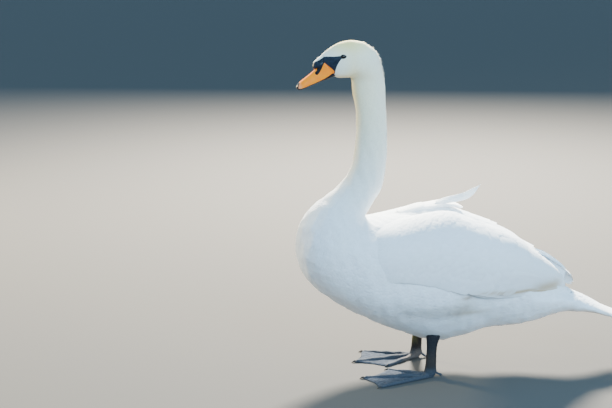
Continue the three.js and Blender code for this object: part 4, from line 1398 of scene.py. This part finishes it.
# ---- bill ----
NOSTRIL, NOSTRIL_SLANT, NOSTRIL_HALF, NOSTRIL_DEPTH = (-279.0, 757.5), 0.95, (4.6, 1.7), 1.8
CHANNEL_PROUD, CULMEN_PROUD = 0.3, 0.35
NAIL_LENGTH, NAIL_HALF = 46, 66  # in rows and in columns of the bill's patch
NAIL_PROUD, NAIL_SUNK = 0.7, 0.8


def sunk_base(points, depth):
    """The rings with one more behind the first, further into the head."""
    back = unit(points[0].mean(0) - points[6].mean(0))
    middle = points[0].mean(0)
    return np.concatenate([(middle + (points[0] - middle) * 0.97 + back * depth)[None], points])


def based(values, patch):
    """Values of a patch's points carried over to its mesh, with a sunk base and two closed ends."""
    return np.concatenate([values[:patch.columns], values, values[:1], values[-1:]])


def forwardness(patch):
    """How far forward each point of a patch lies, from 0 in its first row to 1 in its last."""
    return np.repeat(np.arange(patch.rows), patch.columns) / (patch.rows - 1)


def make_upper_bill():
    """The upper bill, its nostrils sunk and the black skin at its base and its ridge raised a little."""
    flat, normals, forward = bill.points.reshape(-1, 3), bill.fields[..., 3:6], forwardness(bill)
    column = np.tile(np.arange(bill.columns), bill.rows)
    from_top = np.minimum(column, bill.columns - column) / (bill.columns / 2)  # 0 at the ridge, 1 below
    channel = slow(-0.5, 0.7, outline_distance(flat[:, 0], flat[:, 2], CHANNEL))
    x, z = (flat[:, [0, 2]] - NOSTRIL).T
    along = x * math.cos(NOSTRIL_SLANT) - z * math.sin(NOSTRIL_SLANT)
    across = x * math.sin(NOSTRIL_SLANT) + z * math.cos(NOSTRIL_SLANT)
    nostril = np.exp(-((along / NOSTRIL_HALF[0]) ** 2 + (across / NOSTRIL_HALF[1]) ** 2) ** 1.5)
    nostril = nostril * (from_top <= 0.7)
    height = -NOSTRIL_DEPTH * nostril + CHANNEL_PROUD * channel * (1 - nostril)
    height = height + CULMEN_PROUD * np.exp(-(from_top / 0.10) ** 2) * slow(0.3, 0.6, forward)
    rings = bill.points + normals * height.reshape(bill.rows, bill.columns)[..., None]
    mouth_edge = slow(0.35, 0.6, -normals.reshape(-1, 3)[:, 2])
    tip_edge = slow(-320.6, -321.8, flat[:, 0])
    black = np.maximum.reduce([channel, nostril, mouth_edge, tip_edge])
    piece = mesh_of("upper_bill", *shut(sunk_base(rings, 7)))
    paint(piece, black=based(black, bill), forward=based(forward, bill))
    finish_piece(piece, bill_orange, ["bill_upper"])


def make_lower_bill():
    """The lower bill, black all over."""
    jaw = section_patch(LOWER_BILL, 26, 110)
    piece = mesh_of("lower_bill", *shut(sunk_base(jaw.points, 12)))
    paint(piece, black=1, forward=based(forwardness(jaw), jaw))
    finish_piece(piece, bill_orange, ["bill_lower"])


def make_nail(rows=30, columns=41):
    """The nail, a thin shell over the end of the upper bill that widens towards the tip."""
    layers = [[], []]
    for i in range(rows):
        t = i / (rows - 1)
        u = bill.rows - 1 - NAIL_LENGTH * (1 - t) - 0.2
        for j in range(columns):
            e = 2 * j / (columns - 1) - 1
            spread = math.sqrt(max(1 - (1 - t) ** 2.4, 0.0)) * (0.45 + 0.55 * slow(0.35, 1.0, t))
            v = e * NAIL_HALF * spread
            point, normal, _, _ = bill.read(np.array([u]), np.array([v % bill.columns]))
            proud = NAIL_PROUD * (1 - e**4) * min(1.0, 5 * t)
            layers[0].append(point[0] + normal[0] * proud)
            layers[1].append(point[0] - normal[0] * NAIL_SUNK)
    nail = mesh_of("bill_tip_nail", *shell(*np.array(layers).reshape(2, rows, columns, 3)))
    finish_piece(nail, nail_horn, ["bill_nail"])


def bill_material():
    """Orange horn, paler and pinker forward, and black with a wandering edge where black is 1."""
    n = Nodes("bill_orange")
    forward = n.attribute("forward", "Fac")
    streak = n.noise(240.0, 4.0, stretch=(1, 1, 2.5))
    colour = n.mix(n.span(streak, 0.45, 0.75, 0, 0.2), horn_colour(n), (0.86, 0.20, 0.01))
    colour = n.mix(n.span(forward, 0.66, 0.95, 0, 0.8), colour, BILL_PINK)
    wander = n.math("MULTIPLY", n.math("SUBTRACT", streak, 0.5), 0.5)
    edge = n.math("ADD", n.attribute("black", "Fac"), wander)
    colour = n.mix(n.span(edge, 0.42, 0.58), colour, (0.006, 0.009, 0.014))
    n.set(Base_Color=colour, Specular_IOR_Level=0.2)
    # Painted glow: the bill's own colour given out as emission.
    n.set(Emission_Color=colour, Emission_Strength=HORN_PAINTED_GLOW)
    n.set(Roughness=n.math("ADD", n.span(streak, 0.3, 0.7, 0.38, 0.5), n.span(edge, 0.42, 0.58, 0, 0.2)))
    height = n.math("ADD", streak, n.math("MULTIPLY", n.noise(1600.0), 0.3))
    n.set(Normal=n.bump(height, 0.3, 0.0003), Coat_Weight=0.04, Coat_Roughness=0.3)
    return n.material


def horn_material(name, dark, light):
    """Smooth dark horn, for the bill's nail and the claws."""
    n = Nodes(name)
    grain = n.noise(300.0, 3.0, stretch=(1, 3, 1))
    n.set(Base_Color=n.mix(n.span(grain), dark, light))
    n.set(Roughness=n.span(grain, 0.3, 0.7, 0.36, 0.5), Normal=n.bump(grain, 0.25, 0.0002))
    n.set(Specular_IOR_Level=0.3, Coat_Weight=0.08, Coat_Roughness=0.25)
    return n.material


bill_orange = bill_material()
nail_horn = horn_material("nail_horn", (0.006, 0.008, 0.011), (0.014, 0.017, 0.024))
make_upper_bill()
make_lower_bill()
make_nail()

# ---- feathers running from the forehead over the knob's top ----
def peak_patch(rows=34, columns=24):
    """The top of the knob and the forehead behind it."""
    vertices, (skin, skin_faces) = positions(face), shut(body.points)
    quads = np.array([tuple(p.vertices) for p in face.data.polygons])
    top = Solid(np.vstack([vertices, skin]),
                np.vstack([quads[:, [0, 1, 2]], quads[:, [0, 2, 3]], skin_faces + len(vertices)]))
    cells = np.array([[top.tree.ray_cast(Vector((x, across * peak_half(x), 860)), Vector((0, 0, -1)))[0]
                       for across in np.linspace(-1, 1, columns)]
                      for x in np.linspace(PEAK_FRONT, PEAK_REAR, rows)])
    cells[..., 2] = softened(cells[..., 2], 4)
    return Patch(cells, False).facing(2, 1)


def forehead_coat():
    """Down that runs from the forehead to a blunt point over the knob."""
    peak = peak_patch()
    coat = Coat("coat_forehead", lambda points: np.broadcast_to(FOREHEAD_WHITE, points.shape))
    u, v = scatter(peak, lambda u: np.ones(len(u)))
    count = len(u)
    coat.add(grow(peak, u, v, WISP, 4.2 * rng.uniform(0.85, 1.2, count), 2.6, -0.3, 0.5, 0.08,
                  sway=rng.normal(0, 0.12, count), camber=0.05, curl=0.18))
    coat.make(down_material)


forehead_coat()

# ---- legs and feet ----
STANCE = 73
# z, x, shift outwards, half depth, half width
TARSUS = np.array([[0, -2, 0, 11, 9], [14, 1, 0, 16, 11], [30, 2, 0, 14, 9.5], [75, 4, -1, 13, 9],
                   [96, 6, -2, 16, 11], [110, 8, -3, 18, 12.5], [122, 9, -4, 16.5, 12],
                   [138, 12, -6, 15, 11.5], [156, 15, -8, 12, 9]], float)
# tips of the toes, claws included, and their roots, as x and distance from the mid plane
FEET = {"left": {"inner": (-102, 9), "middle": (-176, 59), "outer": (-147, 131)},
        "right": {"inner": (-96, 10), "middle": (-174, 56), "outer": (-140, 133)}}
TOES = {"inner": ((-8, 68), 7.0, 4.2, 2), "middle": ((-11, 73), 7.8, 4.4, 3),
        "outer": ((-8, 79), 7.2, 4.0, 4)}
KNUCKLE, TOE_RISE, CLAW_LENGTH = 0.10, 0.8, 9.5
HIND_TOE = {"root": 6, "reach": 34, "inward": 9, "height": 13}
LEG_VOXEL, LEG_SOFTENING = 0.95, 3
SOLE_EDGE = 0.6  # below this height a toe's underside is pressed flat
TARSUS_SCALE, TOE_SCALE = 4.0, 2.6
TARSUS_GROOVE, TOE_GROOVE = 0.30, 0.16
FOLD_DEPTH, FOLD_PITCH = 0.35, 5.5  # the ankle's creases
LEG_DARK, LEG_BROWN, LEG_BLUE, LEG_OLIVE, LEG_PALE = np.array([
    [0.026, 0.025, 0.030], [0.060, 0.045, 0.036], [0.068, 0.078, 0.098], [0.17, 0.155, 0.065],
    [0.25, 0.20, 0.17]])
# the pale patch from the right heel along its inner toe, as x and distance from the mid plane
PALE_START, PALE_END, PALE_HALF = np.array([6.0, STANCE - 6]), np.array([-58.0, 34.0]), 8


def along_floor(start, end, half, z):
    """The solid of rings round a line on the floor, from their half widths and a grid of heights."""
    start, end = np.array(start, float), np.array(end, float)
    ahead = (end - start) / np.linalg.norm(end - start)
    line = start + (end - start) * np.linspace(0, 1, len(half))[:, None]
    aside = np.array([-ahead[1], ahead[0]]) * (half * np.sin(turns(z.shape[1])))[..., None]
    return shut(np.concatenate([line[:, None] + aside, z[..., None]], axis=-1))


def digit(start, end, radius, sole=lambda t: 0 * t, rings=64, sides=30):
    """A toe along the floor. radius and the sole's height are read along it from 0 to 1."""
    t = np.linspace(0, 1, rings)[:, None]
    half = radius(t)
    z = half * TOE_RISE + half * np.cos(turns(sides))
    pressed = SOLE_EDGE - SOLE_EDGE * np.exp(np.minimum(z - SOLE_EDGE, 0) / SOLE_EDGE)
    z = np.where(z < SOLE_EDGE, pressed, z) + sole(t)
    return along_floor(start, end, half, np.maximum(z, 0.05))


def toe_line(side, name):
    """A toe's root, its end, its claw's tip and the way it points, all on the floor."""
    (x, aside), (tip_x, tip_aside) = TOES[name][0], FEET[side][name]
    start, tip = np.array([x, SIDES[side] * aside]), np.array([tip_x, SIDES[side] * tip_aside])
    ahead = (tip - start) / np.linalg.norm(tip - start)
    return start, tip - ahead * CLAW_LENGTH, tip, ahead


def front_toe(side, name):
    """A front toe, swollen at its joints and blunt at its end."""
    _, near, far, knuckles = TOES[name]
    start, end, _, _ = toe_line(side, name)

    def radius(t):
        swell = 1 + KNUCKLE * np.cos(2 * np.pi * knuckles * t) * (1 - 0.3 * t)
        blunt = np.sqrt(np.clip((1.0 - t) / 0.05, 0.12, 1))
        return (near + (far - near) * t) * swell * blunt * 0.97

    return digit(start, end, radius)


def hind_toe(sign):
    """The small hind toe, which comes down from the heel to the floor."""
    start = (HIND_TOE["root"], sign * STANCE)
    end = (HIND_TOE["reach"], sign * (STANCE - HIND_TOE["inward"]))
    return digit(start, end, lambda t: (5.4 - 2.6 * t) * np.sqrt(np.clip((1.03 - t) / 0.12, 0.1, 1)),
                 lambda t: np.maximum(HIND_TOE["height"] * (1 - 1.3 * t), 0))


def tarsus_solid(sign):
    """The upright leg, flatter in front and ridged by the tendon behind."""
    spin = turns(48)
    points = []
    for z, x, out, deep, wide in through(TARSUS, 20):
        across = np.sin(spin) * wide * (1 - 0.10 * np.maximum(np.cos(spin), 0) ** 2)
        points.append(np.column_stack([x + deep * np.cos(spin), sign * (STANCE + out + across),
                                       np.full(48, max(z, 0.3))]))
    return shut(np.array(points))


def jumble(points, size, seed):
    """How much further the next nearest centre of a jumble of cells is than the nearest, in cells."""
    scaled = points / size
    base = np.floor(scaled).astype(int)
    best = np.full((len(points), 2), 9.0)
    for dx, dy, dz in np.ndindex(3, 3, 3):
        cell = base + [dx - 1, dy - 1, dz - 1]
        key = (cell @ np.array([73856093, 19349663, 83492791]) + seed * 7919) & 0x7FFFFFFF
        jitter = np.stack([((key * m) >> 9) % 1009 / 1009 for m in (31, 57, 91)], axis=1)
        far = np.linalg.norm(cell + 0.15 + 0.7 * jitter - scaled, axis=1)
        closer = far < best[:, 0]
        best[:, 1] = np.where(closer, best[:, 0], np.minimum(best[:, 1], far))
        best[:, 0] = np.where(closer, far, best[:, 0])
    return best[:, 1] - best[:, 0]


def leg_material():
    """Matt scaled skin, darker in the grooves between the scales."""
    n = Nodes("leg_scales")
    tone = n.attribute("mark")
    groove = n.attribute("groove", "Fac")
    blotch = n.noise(220.0, 3.0)
    fine = n.noise(1500.0, 3.0)
    colour = n.mix(n.span(blotch, 0.35, 0.7, 0, 0.55), tone, (0.55, 0.60, 0.68), "MULTIPLY")
    colour = n.mix(n.math("MULTIPLY", groove, 0.45), colour, (0.012, 0.014, 0.018))
    colour = n.mix(n.span(fine, 0.5, 0.8, 0, 0.15), colour, (0.20, 0.20, 0.20))
    n.set(Base_Color=colour, Roughness=n.span(blotch, 0.3, 0.7, 0.55, 0.7))
    n.set(Normal=n.bump(n.math("ADD", fine, n.math("MULTIPLY", groove, -1.5)), 0.45, 0.0004))
    n.set(Specular_IOR_Level=0.06)
    return n.material


def leg_tone(points, side):
    """Leg colour: dark slate above, browner in the middle, blue-grey at the foot.

    The right leg is olive in front, and pale from the heel along its inner toe.
    """
    z = points[:, 2]
    tone = np.broadcast_to(LEG_DARK, points.shape)
    tone = blend(tone, LEG_BROWN, np.exp(-((z - 45) / 26) ** 2)[:, None] * 0.7)
    tone = blend(tone, LEG_BLUE, (1 - slow(8, 34, z))[:, None])
    if side == "right":
        front = 1 - slow(-4, 8, points[:, 0])
        tone = blend(tone, LEG_OLIVE, (front * slow(30, 60, z))[:, None] * 0.8)
        line, reach = points[:, :2] - PALE_START, PALE_END - PALE_START
        t = np.clip(line @ reach / (reach @ reach), 0, 1)
        away = np.linalg.norm(line - t[:, None] * reach, axis=1) / PALE_HALF
        pale = np.exp(-(away**2)) * (1 - slow(0.55, 1, t)) * (1 - slow(16, 34, z + 22 * t))
        tone = blend(tone, LEG_PALE, 0.75 * pale[:, None])
    return tone


def scaled(points, normals):
    """Points of a leg moved for its scales and the ankle's folds, with each one's height, 0 to 1."""
    z = points[:, 2]
    on_toe = 1 - slow(14, 26, z)
    large = slow(0.02, 0.30, jumble(points, TARSUS_SCALE, 3))
    small = slow(0.02, 0.30, jumble(points * [1, 1, 1.3], TOE_SCALE, 5))
    level = blend(large, small, on_toe)
    folds = FOLD_DEPTH * np.sin(z * 2 * np.pi / FOLD_PITCH) * slow(92, 100, z)
    groove = blend(TARSUS_GROOVE, TOE_GROOVE, on_toe)
    moved = points + normals * ((level - 0.7) * groove + folds)[:, None]
    moved[:, 2] = np.maximum(moved[:, 2], 0.05)
    return moved, level


def make_leg(side, sign):
    """One leg and its toes under a single scaled skin."""
    parts = [tarsus_solid(sign), *(front_toe(side, name) for name in TOES), hind_toe(sign)]
    leg = remeshed(f"leg_{side}", parts, LEG_VOXEL, LEG_SOFTENING)
    points = positions(leg)
    moved, level = scaled(points, vectors(leg.data.vertex_normals, "vector"))
    leg.data.vertices.foreach_set("co", ((moved + SHIFT) / 1000).astype(np.float32).ravel())
    leg.data.update()
    paint(leg, mark=leg_tone(points, side), groove=1 - level)
    toes = [f"toe_{name}_{side}" for name in (*TOES, "hind")]
    finish_piece(leg, leg_scales, [f"tarsus_{side}", *toes])


leg_scales = leg_material()
for side, sign in SIDES.items():
    make_leg(side, sign)

# ---- webs and claws ----
WEB_ROWS, WEB_COLUMNS = 90, 60
WEB_HOLLOW = 0.07  # how far the web's front edge is drawn in between the toes
WEB_FLOOR, WEB_RIM, WEB_THICK = 0.45, 0.75, 3.0
WEB_FOLDS, WEB_RIPPLES = 7, 15


def web_material():
    """Blue-grey web, with painted shade along its creases."""
    n = Nodes("web_skin")
    blotch = n.noise(120.0, 4.0)
    fine = n.noise(1200.0, 3.0)
    crease = n.attribute("crease", "Fac")
    colour = n.mix(n.span(blotch), (0.050, 0.060, 0.082), (0.094, 0.108, 0.136))
    # painted shade in the web's creases
    colour = n.mix(n.math("MULTIPLY", crease, 0.75), colour, (0.018, 0.022, 0.030))
    colour = n.mix(n.span(fine, 0.55, 0.8, 0, 0.2), colour, (0.22, 0.24, 0.27))
    n.set(Base_Color=colour, Roughness=n.span(blotch, 0.3, 0.7, 0.55, 0.75))
    n.set(Normal=n.bump(n.math("ADD", fine, n.math("MULTIPLY", crease, -1.2)), 0.5, 0.0004))
    n.set(Specular_IOR_Level=0.0)
    return n.material


def web(side, *toes):
    """The creased web between two toes, and how deep in a crease each of its vertices lies."""
    (a0, a1, _, _), (b0, b1, _, _) = (toe_line(side, name) for name in toes)
    t = np.linspace(0, 1, WEB_COLUMNS)[None, :]
    s = np.linspace(0.04, 1, WEB_ROWS)[:, None] * (1 - WEB_HOLLOW * 4 * t * (1 - t))
    line = blend(a0 + (a1 - a0) * s[..., None], b0 + (b1 - b0) * s[..., None], t[..., None])
    wave = np.abs(np.sin(np.pi * (t * WEB_FOLDS + 0.8 * np.sin(3 * s * np.pi + 2 * t)))) ** 0.7
    ripple = np.abs(np.sin(np.pi * (s * WEB_RIPPLES + 1.6 * np.sin(6 * t))))
    near_toe = np.exp(-np.minimum(t, 1 - t) * 7)
    top = WEB_THICK + 3.0 * near_toe + 0.7 * (wave - 0.6) * (1 - near_toe) + 0.3 * (ripple - 0.6)
    rim = slow(0, 0.03, 1 - np.linspace(0, 1, WEB_ROWS))[:, None]
    top = WEB_RIM + (top - WEB_RIM) * (0.45 + 0.55 * rim)
    upper, lower = (np.dstack([line, height]) for height in (top, np.full(top.shape, WEB_FLOOR)))
    # how deep in a crease each vertex lies, which the web's material darkens as painted shade
    crease = np.clip(1.15 - wave - 0.25 * ripple, 0, 1) * (1 - near_toe)
    return shell(upper, lower), [*np.hstack([crease, crease[:, ::-1]]).ravel(), 0, 0]


def make_webs(side):
    """Both webs of one foot."""
    solids, creases = zip(web(side, "inner", "middle"), web(side, "middle", "outer"))
    webs = mesh_of(f"webs_{side}", *joined(solids))
    paint(webs, crease=np.concatenate(creases))
    finish_piece(webs, web_skin, [f"web_inner_{side}", f"web_middle_{side}"])


def claw(side, name):
    """A claw, from inside its toe's end down to its tip on the floor."""
    (_, end, tip, ahead), wide = toe_line(side, name), TOES[name][2]
    t = np.linspace(0, 1, 30)[:, None]
    half = wide * 0.72 * (1 - t) ** 0.62 + 0.18
    middle = 0.45 + wide * 0.78 * np.cos(t * np.pi / 2) ** 0.9 + half * 0.1
    z = np.maximum(middle + half * np.cos(turns(24)), 0.1)
    return along_floor(end - ahead * 1.5, tip, half * 0.85, z)


def make_claws(side):
    """The three front claws of one foot."""
    claws = mesh_of(f"claws_{side}", *joined([claw(side, name) for name in TOES]))
    finish_piece(claws, claw_horn, [f"claw_{name}_{side}" for name in TOES])


web_skin = web_material()
claw_horn = horn_material("claw_horn", (0.010, 0.010, 0.012), (0.026, 0.026, 0.028))
for side in SIDES:
    make_webs(side)
for side in SIDES:
    make_claws(side)

# ---- floor, light and camera ----
CAMERA_PLACE = np.array([-747.7, -2818.5, 1086.0])
CAMERA_DOWN, CAMERA_RIGHT = 12.8, 9  # degrees down from level and to the right of straight across
SENSOR, FOCAL_PIXELS, PHOTO_WIDTH = 36.0, 1200, 612
SKY, SKY_STRENGTH = (0.40, 0.70, 1.0), 1.1


def make_floor():
    """A wide dull floor under the swan."""
    n = Nodes("floor_grey")
    n.set(Base_Color=(0.10, 0.096, 0.092), Roughness=0.9, Specular_IOR_Level=0.1)
    bpy.ops.mesh.primitive_plane_add(size=60, location=(0, 0, 0))
    floor = bpy.context.object
    floor.name = "floor"
    floor.data.materials.append(n.material)


def area(name, place, target, size, watts, colour):
    """A round lamp at a place, turned to its target."""
    light = bpy.data.lights.new(name, "AREA")
    light.shape, light.size, light.energy, light.color = "DISK", size, watts, colour
    made = linked(name, light)
    made.location = place
    made.rotation_euler = (Vector(target) - Vector(place)).to_track_quat("-Z", "Y").to_euler()


def make_sky():
    """An even blue light from all round."""
    world = bpy.data.worlds.new("studio")
    world.use_nodes = True
    background = world.node_tree.nodes["Background"]
    background.inputs[0].default_value = (*SKY, 1)
    background.inputs[1].default_value = SKY_STRENGTH
    bpy.context.scene.world = world


def make_camera():
    """The photo's camera, worked out from its focal length in pixels."""
    lens = bpy.data.cameras.new("camera")
    lens.sensor_width, lens.lens = SENSOR, SENSOR * FOCAL_PIXELS / PHOTO_WIDTH
    camera = linked("camera", lens)
    camera.location = Vector((CAMERA_PLACE + SHIFT) / 1000)
    camera.rotation_euler = (math.radians(90 - CAMERA_DOWN), 0, math.radians(-CAMERA_RIGHT))
    bpy.context.scene.camera = camera


make_floor()
area("key", (0.7, 3.2, 2.9), (0, 0, 0.4), 0.8, 1900, (1.0, 0.94, 0.80))
area("fill", (0.8, -3.8, 2.6), (0.1, 0, 0.35), 3.0, 285, (0.52, 0.78, 1.0))
area("rim", (-2.6, 2.2, 1.5), (-0.3, 0, 0.6), 0.6, 170, (1.0, 0.84, 0.50))
make_sky()
make_camera()
